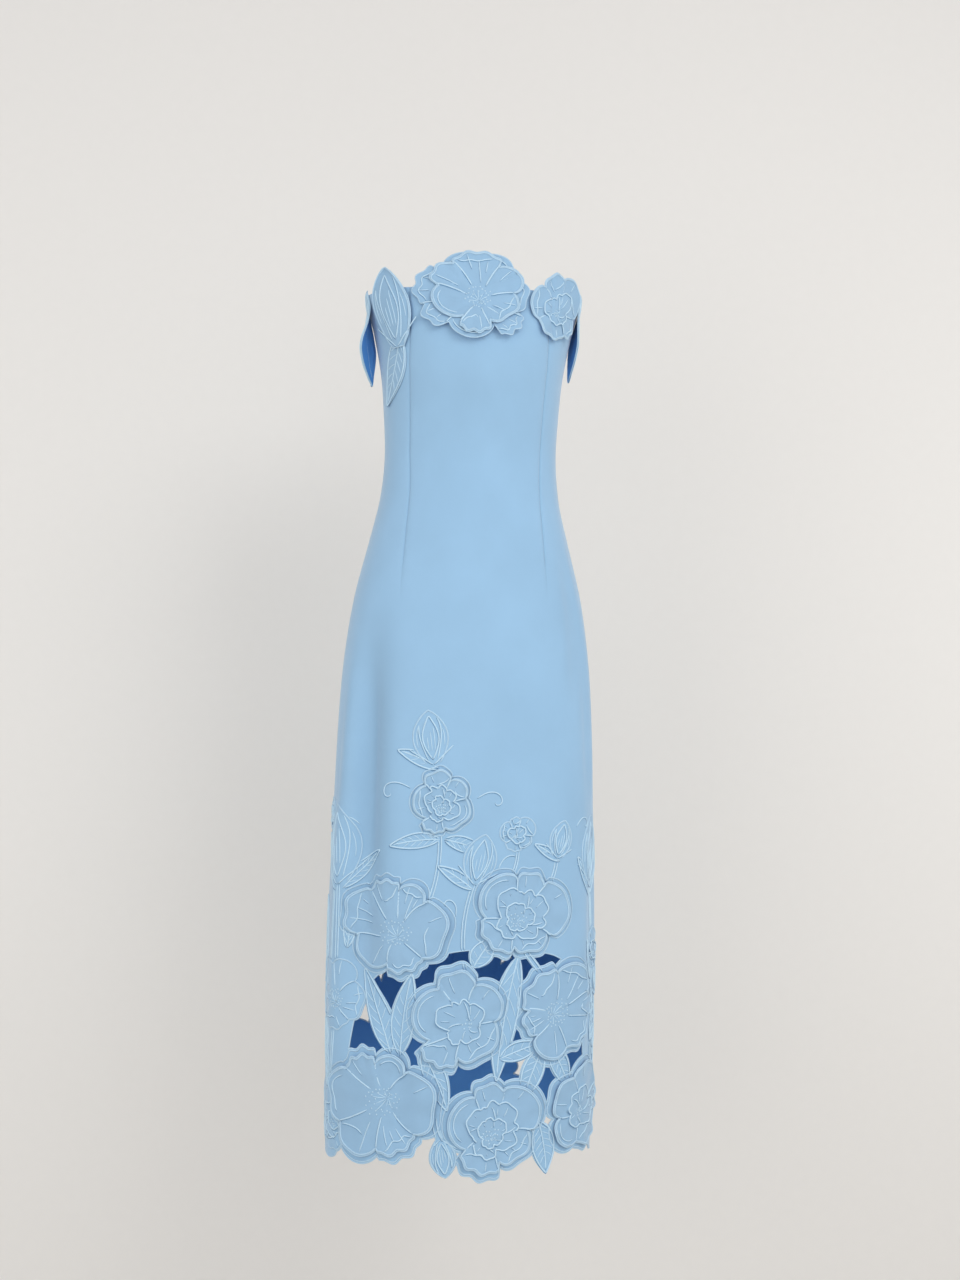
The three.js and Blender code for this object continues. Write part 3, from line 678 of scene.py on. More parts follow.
def ring_lines(row, ring, inner):
    """A ring of inner petals: its edge, where the petals meet and a vein or two on each."""
    turns = np.linspace(0, 1, 110, endpoint=False)
    lines = [Line(bloom_place(row, turns, ring_part(row, ring, turns)[0] - 0.01), 2.0, True)]
    count = row.petals - ring.fewer
    for j in range(count):
        share = (j - ring.turn) / count
        part = np.linspace(ring.reach * (1 - ring.notch) * 0.98, inner, 10)
        lines.append(Line(bloom_place(row, share + 0.3 * (ring.reach - part), part), 1.8))
        for off in (0.36, 0.62):
            low = mix(inner, ring.reach, 0.3 + 0.25 * math.sin(5 * j + 9 * off))
            part = np.linspace(low, 0.86 * ring.reach, 7)
            lines.append(Line(bloom_place(row, share + off / count - 0.06 * (part - low), part), 1.3))
    return lines


def bloom_lines(row, whole=True):
    """The lines stitched on a flower: its rim and petals, and its inner petals and stamens."""
    starts = petal_starts(row)
    shares = np.concatenate([np.linspace(start, end, 30, endpoint=False)
                             for start, end in zip(starts, starts[1:])])
    lines = [Line(bloom_place(row, shares, RIM_PART), 2.2, True)]
    if not whole:
        part = np.linspace(RIM_PART, 0.86, 6)
        return lines + [Line(bloom_place(row, start + 0 * part, part), 2.0) for start in starts[:-1]]
    middle, rings = HEARTS[row.middle], RINGS[row.middle]
    for k in range(row.petals):
        start, wide = starts[k], starts[k + 1] - starts[k]
        inner = float(ring_part(row, rings[0], np.array([start]))[0][0]) if rings else middle.end + 0.03
        lines += petal_lines(row, k, start, wide, inner)
    for ring, inside in zip(rings, rings[1:] + [None]):
        lines += ring_lines(row, ring, inside.reach if inside else middle.end)
    for j in range(9 if row.middle == "open" else 5):
        part = np.linspace(0.02, middle.start + 0.08 + 0.05 * math.sin(2.7 * j), 6)
        lines.append(Line(bloom_place(row, (j + 0.25 * math.sin(3.1 * j)) / 9 + 0.1 * part, part), 1.1))
    return lines


def covered_lines(row):
    """The lines on a flower whose middle another one covers."""
    starts = petal_starts(row)
    lines = []
    for start, end in zip(starts, starts[1:]):
        t = np.linspace(0.06, 0.94, 18)
        lines.append(Line(bloom_place(row, mix(start, end, t), 0.9 - 0.03 * (2 * t - 1) ** 2), 1.7))
        part = np.linspace(RIM_PART, 0.68, 8)
        lines.append(Line(bloom_place(row, start + 0 * part, part), 2.0))
        part = np.linspace(0.88, 0.74, 6)
        for at in (0.33, 0.67):
            lines.append(Line(bloom_place(row, mix(start, end, at + 0.3 * (0.88 - part)), part), 1.4))
    return lines


GOLDEN = 0.381966  # of a turn, which spreads the knots evenly


def bloom_knots(row):
    """Places of the knots in the heart of a flower."""
    heart = HEARTS[row.middle]
    i = np.arange(heart.knots)
    spread = np.sqrt((i + 0.3) / heart.knots)
    part = mix(heart.start, heart.end, spread) + 0.012 * np.sin(5.0 * i)
    return bloom_place(row, np.mod(i * GOLDEN, 1.0), part)


def bud_lines(row):
    inner = np.linspace(0.1, 0.9, 22)
    belly = 0.44 * np.sin(np.pi * (inner - 0.1) / 0.8) ** 0.6
    tear = np.concatenate([along(row, inner, belly), along(row, inner[::-1], -belly[::-1])])
    lines = [Line(round_tip(row, np.linspace(0.03, 0.985, 26), 0.94), 2.3), Line(tear, 1.9)]
    for side in (-1, 1):
        t = np.linspace(0.1, 0.8 + 0.06 * side, 18)
        lines.append(Line(along(row, t, side * (0.46 + 0.44 * t ** 2)), 1.8))
        t = np.linspace(0.34, 0.7 - 0.05 * side, 10)
        lines.append(Line(along(row, t, side * (0.8 - 0.1 * t)), 1.2))
        sepal = np.linspace(0, 1, 10)
        lines.append(Line(along(row, 0.01 + 0.3 * sepal ** 1.7, side * (0.12 + 1.2 * sepal)), 1.8))
    return lines + [Line(along(row, np.linspace(0.26, 0.6 + 0.5 * across, 10), across), 1.2)
                    for across in (-0.19, 0.01, 0.2)]


def leaf_lines(row):
    lines = [Line(round_tip(row, np.linspace(0.02, 0.975, 22), 0.88, 0.995), 2.1),
             Line(along(row, np.linspace(0.0, 0.93, 16), 0.0), 1.9)]
    length = spine(row)[0]
    if row.width < 0.2 * length:
        return lines + [Line(along(row, np.linspace(0.16, 0.8 - 0.1 * across, 14), across), 1.3)
                        for across in (-0.48, 0.44)]
    veins = 3 if length < 62 else 5
    across = np.linspace(0.05, 0.72, 8)
    for j in range(veins):
        for side in (-1, 1):
            t = 0.1 + 0.66 * j / veins + 0.03 * side + 0.2 * across ** 1.3
            lines.append(Line(along(row, t, side * across), 1.2))
    return lines


def stem_lines(row):
    t = np.linspace(0, 1, 24)
    return [Line(stem_places(row, t, side), 1.8) for side in (-0.72, 0.72)]


def tendril_lines(row):
    """A thread that curls up at its end."""
    t = np.linspace(0, 1, 34)
    way = math.radians(row.turn) + row.curl * 5.2 * t ** 1.7
    step = row.size / 33 * (1.35 - t)
    s = row.s + np.cumsum(step * np.sin(way))
    z = row.z + np.cumsum(step * np.cos(way))
    return [Line(np.stack([s, z], -1), 1.7)]


LINES = {"Bloom": bloom_lines, "Bud": bud_lines, "Leaf": leaf_lines, "Stem": stem_lines,
         "Tendril": tendril_lines}


def lines_of(row):
    return LINES[type(row).__name__](row)


def kept_runs(places, kept):
    """The unbroken runs of a line's kept points."""
    runs, run = [], []
    for place, keep in zip(places, kept):
        if keep:
            run.append(place)
        elif run:
            runs.append(run)
            run = []
    if run:
        runs.append(run)
    return [np.array(run) for run in runs if len(run) > 3]


def seen_lines(lines, above, on_cloth):
    """The lines, cut where a motif above hides them or where there is no cloth."""
    seen = []
    for line in lines:
        places = spaced(line.places, STITCH, line.closed)
        kept = on_cloth(places)
        for rim, low, high in above:
            near = kept & (places > low).all(1) & (places < high).all(1)
            if near.any():
                index = np.flatnonzero(near)
                kept[index[within(places[index], rim)]] = False
        if kept.all():
            seen.append(Line(places, line.width, line.closed))
            continue
        if line.closed:
            first = int(np.flatnonzero(~kept)[0])
            places, kept = np.roll(places, -first, 0), np.roll(kept, -first)
        seen += [Line(run, line.width) for run in kept_runs(places, kept)]
    return seen


SEAM_CLOTH_LOW = -1128  # at and past a side seam the cloth is whole down to here


def cloth_test(outline, motifs):
    """A test for places that lie on the cloth of one side of the dress."""
    rims = [outline] + [rim_of(row) for row in motifs if row.cut]

    def on_cloth(places):
        middle = outline[:, 0].mean()
        kept = (np.abs(places[:, 0] - middle) > SIDE - 1) & (places[:, 1] > SEAM_CLOTH_LOW)
        for rim in rims:
            rest = np.flatnonzero(~kept)
            kept[rest[within(places[rest], rim)]] = True
        return kept

    return on_cloth


def side_lines(side):
    """Every line stitched on one side's panels, and the places of its knots."""
    boxes = []
    for row in side.motifs:
        rim = rim_of(row)
        if row in side.raised:
            rim = mix(np.array([[row.s, row.z]]), rim, INNER_SIZE + 0.015)
        boxes.append((rim, rim.min(0), rim.max(0)))
    on_cloth = cloth_test(side.outline, side.motifs)
    lines, beads = [], []
    for row in side.tendrils:
        lines += seen_lines(tendril_lines(row), boxes, on_cloth)
    for i, row in enumerate(side.motifs):
        is_raised = row in side.raised
        drawn = bloom_lines(row, not is_raised) if isinstance(row, Bloom) else lines_of(row)
        above = boxes[i + 1:] + ([boxes[i]] if is_raised else [])
        lines += seen_lines(drawn, above, on_cloth)
        if isinstance(row, Bloom) and not is_raised:
            beads.append(bloom_knots(row))
    return lines, np.concatenate(beads)


# ---------------------------------------------------------------- meshes


CLOTH_ANGLE = 50  # degrees between faces that still shade as one
PETAL_ANGLE = 60
ROUND_ANGLE = 100


def new_object(name, points, faces, uvs, face_materials, materials, smooth_angle, dim=None):
    """An object of points in millimetres, with a UV and a dimness for each, and a material per face."""
    mesh = bpy.data.meshes.new(name)
    mesh.from_pydata((np.asarray(points) * MM).tolist(), [], faces)
    for material in materials:
        mesh.materials.append(material)
    mesh.polygons.foreach_set("material_index", np.asarray(face_materials, np.int32))
    layer = mesh.uv_layers.new(name="flat")
    corners = np.zeros(len(mesh.loops), np.int32)
    mesh.loops.foreach_get("vertex_index", corners)
    layer.data.foreach_set("uv", (np.asarray(uvs)[corners] * MM).ravel().astype(np.float32))
    if dim is not None:
        dimness = mesh.attributes.new("dim", "FLOAT", "POINT").data
        dimness.foreach_set("value", np.asarray(dim, np.float32))
    mesh.update()
    thing = bpy.data.objects.new(name, mesh)
    bpy.context.scene.collection.objects.link(thing)
    bpy.ops.object.select_all(action="DESELECT")
    thing.select_set(True)
    bpy.context.view_layer.objects.active = thing
    bpy.ops.object.shade_smooth_by_angle(angle=math.radians(smooth_angle))
    thing.select_set(False)
    return thing


def shell(name, places, triangles, out, wall, materials, smooth_angle=CLOTH_ANGLE, dim=None):
    """A closed thin sheet over flat places, its outer face out millimetres off the dress."""
    used, compact = np.unique(triangles, return_inverse=True)
    triangles = compact.reshape(-1, 3)
    places, out = places[used], out[used]
    dim = None if dim is None else np.concatenate([dim[used], dim[used]])
    count = len(places)
    outer = cloth(places[:, 0], places[:, 1], out)
    inner = cloth(places[:, 0], places[:, 1], out - wall)
    rim = [(b, a, a + count, b + count) for a, b in border_pairs(triangles).tolist()]
    faces = triangles.tolist() + (triangles[:, ::-1] + count).tolist() + rim
    kinds = [0] * len(triangles) + [1] * len(triangles) + [0] * len(rim)
    return new_object(name, np.concatenate([outer, inner]), faces, np.concatenate([places, places]),
                      kinds, materials, smooth_angle, dim)


SECTION_SIDES = 5
EDGE_WIDTH = 2.15  # stitching at least this wide follows an edge, in thread close to the cloth's colour
EDGE_DIM = 0.4
THIN_END = 0.4  # of a cord's thickness, at its very end
# A painted shadow runs beside every line wider than this: a cord in a darker blue, shifted and raised
# by parts of the line's size; the shift is so much across and so much down, away from the key lamp as a
# cast shadow falls.
BESIDE_FROM = 1.25
BESIDE_SIDES = 3
BESIDE_SHIFT = 0.55
BESIDE_ACROSS, BESIDE_DOWN = 0.45, 0.89
BESIDE_HEIGHT = 0.5


def cord_ring(points, normals, width, height, closed, sides):
    """The rings of a half-round cord along a line of points."""
    if closed:
        tangent = np.roll(points, -1, 0) - np.roll(points, 1, 0)
    else:
        tangent = np.gradient(points, axis=0)
    tangent /= np.linalg.norm(tangent, axis=1, keepdims=True) + 1e-9
    side = np.cross(tangent, normals)
    side /= np.linalg.norm(side, axis=1, keepdims=True) + 1e-9
    up = np.cross(side, tangent)
    thin = np.ones(len(points))
    if not closed:
        ends = np.minimum(np.arange(len(points)), np.arange(len(points))[::-1])
        thin = np.clip(THIN_END + 0.3 * ends, THIN_END, 1.0)
    angles = 2 * np.pi * (np.arange(sides) + 0.25) / sides
    across = (np.cos(angles) * width / 2)[None, :, None] * thin[:, None, None] * side[:, None, :]
    rise = (np.sin(angles) * height)[None, :, None] * thin[:, None, None] * up[:, None, :]
    return points[:, None, :] + across + rise


def beside(points, normals, width, height, closed):
    """Painted shadow: a darker cord laid low along the under side of a light one, shifted down and to
    one side as a cast shadow falls.
    """
    across = np.cross(normals, (0.0, 0.0, 1.0))
    drift = BESIDE_ACROSS * across + BESIDE_DOWN * np.cross(normals, across)
    return points + drift * BESIDE_SHIFT * width, normals, width, BESIDE_HEIGHT * height, closed


def cords(name, lines):
    """One mesh of many cords; each is (points, normals, width, height, closed) in millimetres."""
    all_points, all_uvs, faces, all_dims, kinds = [], [], [], [], []
    base = 0
    # the painted shadows of the lines, as darker cords in the second material
    deep = [beside(*line) for line in lines if BESIDE_FROM < line[2] < EDGE_WIDTH]
    for kind, sides, own in ((0, SECTION_SIDES, lines), (1, BESIDE_SIDES, deep)):
        j = np.arange(sides)
        k = (j + 1) % sides
        for points, normals, width, height, closed in own:
            count = len(points)
            all_points.append(cord_ring(points, normals, width, height, closed, sides).reshape(-1, 3))
            run = np.concatenate([[0], np.cumsum(np.linalg.norm(np.diff(points, axis=0), axis=1))])
            uv = np.stack(np.broadcast_arrays(run[:, None], width * j[None, :]), -1)
            all_uvs.append(uv.reshape(-1, 2))
            all_dims.append(np.full(len(all_uvs[-1]), EDGE_DIM if width > EDGE_WIDTH else 0.0))
            here = base + sides * np.arange(count if closed else count - 1)[:, None]
            there = base + (here - base + sides) % (sides * count)
            faces += np.stack([here + j, there + j, there + k, here + k], -1).reshape(-1, 4).tolist()
            if not closed:
                faces.append((base + j).tolist())
                faces.append((base + (count - 1) * sides + j[::-1]).tolist())
            base += count * sides
        kinds += [kind] * (len(faces) - len(kinds))
    return new_object(name, np.concatenate(all_points), faces, np.concatenate(all_uvs),
                      kinds, [finish("thread"), finish("deep_thread")], ROUND_ANGLE,
                      np.concatenate(all_dims))


KNOT_RINGS = 3
KNOT_SIDES = 6
KNOT_SINK = 0.35  # of a knot's radius, from its middle down
KNOT_RISE = 0.62  # and up


def knots(name, points, normals, size, material):
    """French knots: small flattened beads with a few dozen faces each."""
    side = np.cross(normals, (0.0, 0.0, 1.0))
    side /= np.linalg.norm(side, axis=1, keepdims=True)
    other = np.cross(normals, side)
    clouds = [points - normals * size * KNOT_SINK]
    for i in range(KNOT_RINGS):
        angle = math.pi * (i + 1) / (KNOT_RINGS + 1)
        for j in range(KNOT_SIDES):
            turn = 2 * math.pi * (j + 0.5 * i) / KNOT_SIDES
            flat = side * math.cos(turn) + other * math.sin(turn)
            clouds.append(points + size * (flat * math.sin(angle) - normals * 0.6 * math.cos(angle)))
    clouds.append(points + normals * size * KNOT_RISE)
    each = len(clouds)
    cloud = np.stack(clouds, 1).reshape(-1, 3)
    pattern = []
    for j in range(KNOT_SIDES):
        k = (j + 1) % KNOT_SIDES
        pattern.append((0, 1 + j, 1 + k))
        pattern.append((each - 1, each - 1 - KNOT_SIDES + k, each - 1 - KNOT_SIDES + j))
        for i in range(KNOT_RINGS - 1):
            low, high = 1 + i * KNOT_SIDES, 1 + (i + 1) * KNOT_SIDES
            pattern.append((low + j, high + j, high + k))
            pattern.append((low + j, high + k, low + k))
    pattern = np.array(pattern)[:, ::-1]
    faces = (each * np.arange(len(points))[:, None, None] + pattern[None]).reshape(-1, 3).tolist()
    return new_object(name, cloud, faces, np.zeros((len(cloud), 2)), [0] * len(faces), [material],
                      ROUND_ANGLE)


def on_surface(places, out):
    """Points at places on a surface that stands out from the cloth, and the normals there."""
    s, z = places.T
    return cloth(s, z, out(s, z)), normal_of(s, z)


def stitched(lines, top, height):
    """Lines on the cloth as cords on its surface; top gives how far out that surface is."""
    points, normals = on_surface(np.concatenate([line.places for line in lines]), top)
    ends = np.cumsum([len(line.places) for line in lines])[:-1]
    return [(own, out, line.width, height * (0.6 + 0.2 * line.width), line.closed)
            for line, own, out in zip(lines, np.split(points, ends), np.split(normals, ends))]


# ---------------------------------------------------------------- sewn-on pieces

INNER_SIZE = 0.86  # a sewn-on flower against the flower it covers
FLAT_SIZE = 50  # smaller flowers lie flat, sewn down all over
FLAT_LIFT = 1.2  # how far their rims stand off
HEM_LIFT = 0.05  # of a flower's size, how far the rim of a larger one stands off the hem
BED = 0.45  # how far a hem flower's outer face lies over its wall, where its relief is nought
WAVE_LOW = -0.3  # how deep a sewn-on flower's relief may go


def cut_piece(outline, pitch, seams=()):
    """Cuts one piece flat from its outline, as a net of places and triangles."""
    outline = outline_of(outline, pitch)
    low, high = outline.min(0), outline.max(0)
    fill = [(s, z) for i, z in enumerate(np.arange(low[1], high[1], pitch * ROW))
            for s in np.arange(low[0] + 0.5 * pitch * (i % 2), high[0], pitch)]
    return net_of([outline], [spaced(seam, pitch) for seam in seams], fill, lambda z: 0.55 * pitch)


def petal_seams(row):
    """The lines between a flower's petals, which its net follows."""
    rings = RINGS[row.middle]
    seams = []
    for start in petal_starts(row)[:-1]:
        inner = float(ring_part(row, rings[0], np.array([start]))[0][0]) if rings else 0.2
        part = np.linspace(0.97, inner + 0.07, 8)
        seams.append(bloom_place(row, start + 0 * part, part))
    turns = np.linspace(0, 1, 90)
    for ring in rings:
        for off in (0.0, 0.05):
            seams.append(bloom_place(row, turns, ring_part(row, ring, turns)[0] + off))
    return seams


def rim_lift(row, s, z, lift):
    """How far a flower's rim stands off the cloth; its middle is sewn down."""
    return lift * np.clip(2 * np.hypot(s - row.s, z - row.z) / row.size - 1, 0, 1) ** 2


def hem_flower_out(row):
    """Where the outer face of a flower sewn over the hem lies."""
    lift = HEM_LIFT * row.size if row.size > FLAT_SIZE else FLAT_LIFT

    def out(s, z):
        _, part = bloom_polar(inner_row(row), s, z)
        waves = petal_relief(inner_row(row), s, z) * (1.0 + 1.0 * np.clip(part, 0, 1) ** 2)
        return GAP + PETAL + BED + rim_lift(row, s, z, lift) + np.maximum(waves, WAVE_LOW)

    return out


def inner_row(row):
    return row._replace(size=row.size * INNER_SIZE)


# Pieces sewn along the neckline, lowest first: seat is the gap under a piece at its middle, lift how
# far its rim stands off, droop how much further its lower edge does, and over what it lies on besides
# the panels.
Neck = namedtuple("Neck", "name node shape seat lift droop over", defaults=((),))
NECKLINE = [
    Neck("neck_flower_lower", "neck_bloom_lower",
         Bloom("lower", -13, -12, 93, 8, 7, True, False, 190, "open", 0.66), GAP, 2.5, 7.5),
    Neck("neck_flower_upper", "neck_bloom_upper",
         Bloom("upper", -9, -8, 79, 34, 6, True, False, 170, "open", 0.66), GAP, 3.0, 1.5,
         ("neck_flower_lower",)),
    Neck("neck_flower_side", "neck_bloom_side",
         Bloom("side", 132, -18, 50, 10, 5, True, False, 205, "cup", 0.95), GAP, 3.0, 4.0),
    Neck("neck_leaf_front_cloth", "neck_leaf_front",
         Leaf(-142, -62, -192, -148, 42, 0.1), GAP, 0.6, 0.0),
    Neck("neck_bud_cloth", "neck_bud",
         Bud(-146, -76, 104, -4), 3 * GAP + PETAL, 2.5, 0.0, ("neck_leaf_front_cloth",)),
    Neck("neck_leaf_right_cloth", "neck_leaf_right",
         Leaf(-214, 6, -242, -116, 44, 0.1), GAP, 3.0, 24.0),
    Neck("neck_leaf_left_cloth", "neck_leaf_left",
         Leaf(206, 10, 226, -104, 44, -0.1), GAP, 3.0, 10.0),
]


def neck_out(piece):
    """Where the outer face of a piece sewn along the neckline lies."""
    row = piece.shape

    def bloom_out(s, z):
        waves = petal_relief(row, s, z) * 1.2
        lift = rim_lift(row, s, z, piece.lift)
        droop = piece.droop * smooth((row.z - 12 - z) / 42)
        base = 0.0
        if piece.name == "neck_flower_upper":
            base = np.maximum(neck_out(NECKLINE[0])(s, z) - GAP, 0)
        return base + piece.seat + PETAL + 0.3 + lift + droop + np.maximum(waves, WAVE_LOW)

    def leaf_out(s, z):
        t, across = along_and_across(row, s, z)
        edge = 0.5 + 0.5 * np.clip(across, -1, 1) * np.sign(row.s)
        free = bell((t - 0.58) / 0.5) * smooth(edge) + 0.35 * smooth((t - 0.6) / 0.4)
        return piece.seat + PETAL + leaf_relief(row, s, z) + piece.lift * t ** 2 + piece.droop * free

    def bud_out(s, z):
        t, across = along_and_across(row, s, z)
        rim = piece.lift * np.clip(np.abs(across), 0, 1) ** 3 * t
        return piece.seat + PETAL + 0.6 + 1.3 * bud_relief(row, s, z) + rim

    return {"Bloom": bloom_out, "Leaf": leaf_out, "Bud": bud_out}[type(row).__name__]


# ---------------------------------------------------------------- finishes


def tint(red, green, blue):
    """A colour from its 0-255 values on a screen."""
    return tuple((v / 255 / 12.92) if v <= 10 else ((v / 255 + 0.055) / 1.055) ** 2.4
                 for v in (red, green, blue))


def new_group(name, inputs, coordinates):
    """A node group that will put out a shade and a normal, its inputs and its pattern's coordinates."""
    group = bpy.data.node_groups.new(name, "ShaderNodeTree")
    for label, value in inputs.items():
        socket = group.interface.new_socket(label, in_out="INPUT", socket_type="NodeSocketFloat")
        socket.default_value = value
    for label, kind in (("Shade", "NodeSocketFloat"), ("Normal", "NodeSocketVector")):
        group.interface.new_socket(label, in_out="OUTPUT", socket_type=kind)
    place = group.nodes.new("ShaderNodeTexCoord").outputs[coordinates]
    return group, group.nodes.new("NodeGroupInput").outputs, place


def node(tree, kind, links=None, **settings):
    """A node with its settings and the sockets or values that feed it."""
    made = tree.nodes.new(kind)
    for key, value in settings.items():
        setattr(made, key, value)
    for key, value in (links or {}).items():
        if isinstance(value, bpy.types.NodeSocket):
            tree.links.new(value, made.inputs[key])
        else:
            made.inputs[key].default_value = value
    return made


def closed_group(group, shade, strength, distance, height):
    """The group, putting out the shade and the normal of a bump of the height."""
    bump = node(group, "ShaderNodeBump", {"Strength": strength, "Distance": distance, "Height": height})
    node(group, "NodeGroupOutput", {"Shade": shade, "Normal": bump.outputs["Normal"]})
    return group


def reckoned(tree, operation, *values):
    """What a maths node makes of sockets and numbers."""
    return node(tree, "ShaderNodeMath", dict(enumerate(values)), operation=operation).outputs[0]


def field(tree, kind, place, values, **options):
    """The strength of a noise or wave pattern over the coordinates."""
    return node(tree, "ShaderNodeTex" + kind, {"Vector": place, **values}, **options).outputs["Fac"]


GRAIN_DEPTH = 0.0003  # metres that a cloth's or a thread's grain stands up
FLECK_DEPTH = 0.0001
PLASTER_DEPTH = 0.001


def cloth_grain_group():
    """A pebbled, faintly woven grain with soft clouding."""
    group, entry, place = new_group(
        "cloth grain", {"Grain": 1500.0, "Weave": 900.0, "Height": 0.3, "Clouding": 14.0}, "UV")
    pebble = field(group, "Noise", place, {"Scale": entry["Grain"], "Detail": 3.0, "Distortion": 0.6})
    threads = {"Scale": entry["Weave"], "Distortion": 2.0, "Detail": 1.0}
    warp, weft = (field(group, "Wave", place, threads, bands_direction=way) for way in "XY")
    woven = reckoned(group, "MULTIPLY", reckoned(group, "MAXIMUM", warp, weft), 0.35)
    grain = reckoned(group, "ADD", pebble, woven)
    cloud = field(group, "Noise", place, {"Scale": entry["Clouding"], "Detail": 4.0, "Roughness": 0.55})
    shade = reckoned(group, "MULTIPLY_ADD", grain, 0.3, reckoned(group, "MULTIPLY", cloud, 0.65))
    return closed_group(group, shade, entry["Height"], GRAIN_DEPTH, grain)


def thread_twist_group():
    """Satin stitches laid across a cord, side by side."""
    group, entry, place = new_group("satin stitches", {"Stitches": 260.0, "Height": 0.35}, "UV")
    stitches = {"Scale": entry["Stitches"], "Distortion": 1.2, "Detail": 1.0}
    strands = field(group, "Wave", place, stitches, bands_direction="DIAGONAL")
    uneven = field(group, "Noise", place, {"Scale": 90.0, "Detail": 2.0})
    shade = reckoned(group, "MULTIPLY_ADD", strands, 0.5, uneven)
    return closed_group(group, shade, entry["Height"], GRAIN_DEPTH, strands)


def enamel_group():
    """Faint flecks and soft dullness in an enamelled metal."""
    group, entry, place = new_group("enamel wear", {"Flecks": 900.0, "Height": 0.12}, "Object")
    flecks = field(group, "Noise", place, {"Scale": entry["Flecks"], "Detail": 3.0})
    return closed_group(group, flecks, entry["Height"], FLECK_DEPTH, flecks)


def plaster_group():
    """A painted wall, faintly uneven."""
    group, _, place = new_group("plaster", {}, "Object")
    rough = field(group, "Noise", place, {"Scale": 60.0, "Detail": 4.0})
    return closed_group(group, rough, 0.05, PLASTER_DEPTH, rough)


def soft(roughness, sheen, sheen_roughness, specular):
    """A shader's values for cloth and thread."""
    return {"Roughness": roughness, "Sheen Weight": sheen, "Sheen Roughness": sheen_roughness,
            "Specular IOR Level": specular}


# Each colour's material: its name, its pattern with the pattern's values, the shader's values, and how
# far the pattern's shade takes the colour down and up.
FINISHES = {
    "crepe": ("crepe cloth", "cloth grain", cloth_grain_group, (1300.0, 420.0, 0.35, 9.0),
              soft(0.85, 0.5, 0.4, 0.25), (0.9, 1.06)),
    "petal": ("petal cloth", "cloth grain", cloth_grain_group, (1600.0, 520.0, 0.45, 26.0),
              soft(0.88, 0.5, 0.4, 0.25), (0.9, 1.06)),
    "reverse": ("reverse of the cloth", "cloth grain", cloth_grain_group, (900.0, 700.0, 0.25, 12.0),
                soft(0.8, 0.1, 0.5, 0.2), (0.9, 1.06)),
    "thread": ("satin thread", "satin stitches", thread_twist_group, (260.0, 0.4),
               soft(0.5, 0.15, 0.4, 0.45), (0.88, 1.06)),
    # painted shadow beside the stitched lines, in a darker blue
    "deep_thread": ("deep thread", "satin stitches", thread_twist_group, (260.0, 0.3),
                    soft(0.7, 0.1, 0.4, 0.2), (0.9, 1.05)),
    "tape": ("zip tape", "cloth grain", cloth_grain_group, (700.0, 500.0, 0.5, 20.0),
             soft(0.75, 0.1, 0.5, 0.3), (0.9, 1.06)),
    "zip": ("enamelled zip", "enamel wear", enamel_group, (900.0, 0.12),
            {"Roughness": 0.32, "Metallic": 0.55, "Coat Weight": 0.3, "Coat Roughness": 0.2},
            (0.9, 1.06)),
    "wall": ("plaster", "plaster", plaster_group, (),
             {"Roughness": 0.95, "Specular IOR Level": 0.1}, (0.985, 1.0)),
}
# The share of the crepe's colour left where the painted shade of seams, darts and the hip fold's hollow
# is full.
PAINTED_SHADE_SHARE = 0.88  # of the crepe's colour, in its seams
RAMP_ENDS = (0.25, 0.85)  # the shades at which a colour is taken down and up in full


def finish(key):
    """A material whose colour varies with its pattern's shade and whose normal follows its relief."""
    name, group_name, make_group, values, shading, spread = FINISHES[key]
    material = bpy.data.materials.get(name)
    if material:
        return material
    colours = settings()[1]
    colour = getattr(colours, key)
    material = bpy.data.materials.new(name)
    material.use_nodes = True
    tree = material.node_tree
    shader = tree.nodes["Principled BSDF"]
    effect = tree.nodes.new("ShaderNodeGroup")
    effect.node_tree = bpy.data.node_groups.get(group_name) or make_group()
    for socket, value in zip(effect.inputs, values):
        socket.default_value = value
    ramp = node(tree, "ShaderNodeValToRGB", {"Fac": effect.outputs["Shade"]})
    for end, position, share in zip(ramp.color_ramp.elements, RAMP_ENDS, spread):
        end.position = position
        end.color = (*(min(1.0, v * share) for v in colour), 1)
    surface = ramp.outputs["Color"]
    # For the crepe the dim attribute paints shade into its seams, darts and hip fold's hollow; for the
    # thread it tones the stitching over an edge towards the petal colour.
    dimmed = {"crepe": [PAINTED_SHADE_SHARE * v for v in colours.crepe], "thread": colours.petal}.get(key)
    if dimmed:
        dim = node(tree, "ShaderNodeAttribute", attribute_name="dim").outputs["Fac"]
        toned = node(tree, "ShaderNodeMixRGB", {"Fac": dim, "Color1": surface, "Color2": (*dimmed, 1)})
        surface = toned.outputs["Color"]
    tree.links.new(surface, shader.inputs["Base Color"])
    tree.links.new(effect.outputs["Normal"], shader.inputs["Normal"])
    for label, value in shading.items():
        shader.inputs[label].default_value = value
    return material


# ---------------------------------------------------------------- what a user may change


class DressSizes(bpy.types.PropertyGroup):
    """Sizes of the cloth, the net it is cut on and its stitching."""

    net_high: bpy.props.FloatProperty(
        name="Net above", description="Pitch of the net over the plain cloth", default=0.008,
        unit="LENGTH")
    net_low: bpy.props.FloatProperty(
        name="Net below", description="Pitch of the net over the stitched cloth", default=0.004,
        unit="LENGTH")
    net_petal: bpy.props.FloatProperty(
        name="Petal net", description="Pitch of the net over sewn-on pieces", default=0.0024,
        unit="LENGTH")
    wall: bpy.props.FloatProperty(
        name="Cloth", description="Thickness of the crepe", default=CLOTH * MM, unit="LENGTH")
    petal_wall: bpy.props.FloatProperty(
        name="Petal", description="Thickness of a sewn-on piece", default=PETAL * MM, unit="LENGTH")
    cord: bpy.props.FloatProperty(
        name="Cord", description="Height of a stitched line over the cloth", default=0.0011,
        unit="LENGTH")
    binding: bpy.props.FloatProperty(
        name="Binding", description="Width of the stitching over a cut edge", default=0.0023,
        unit="LENGTH")
    knot: bpy.props.FloatProperty(
        name="Knot", description="Radius of a knot in a flower's heart", default=0.0011,
        unit="LENGTH")


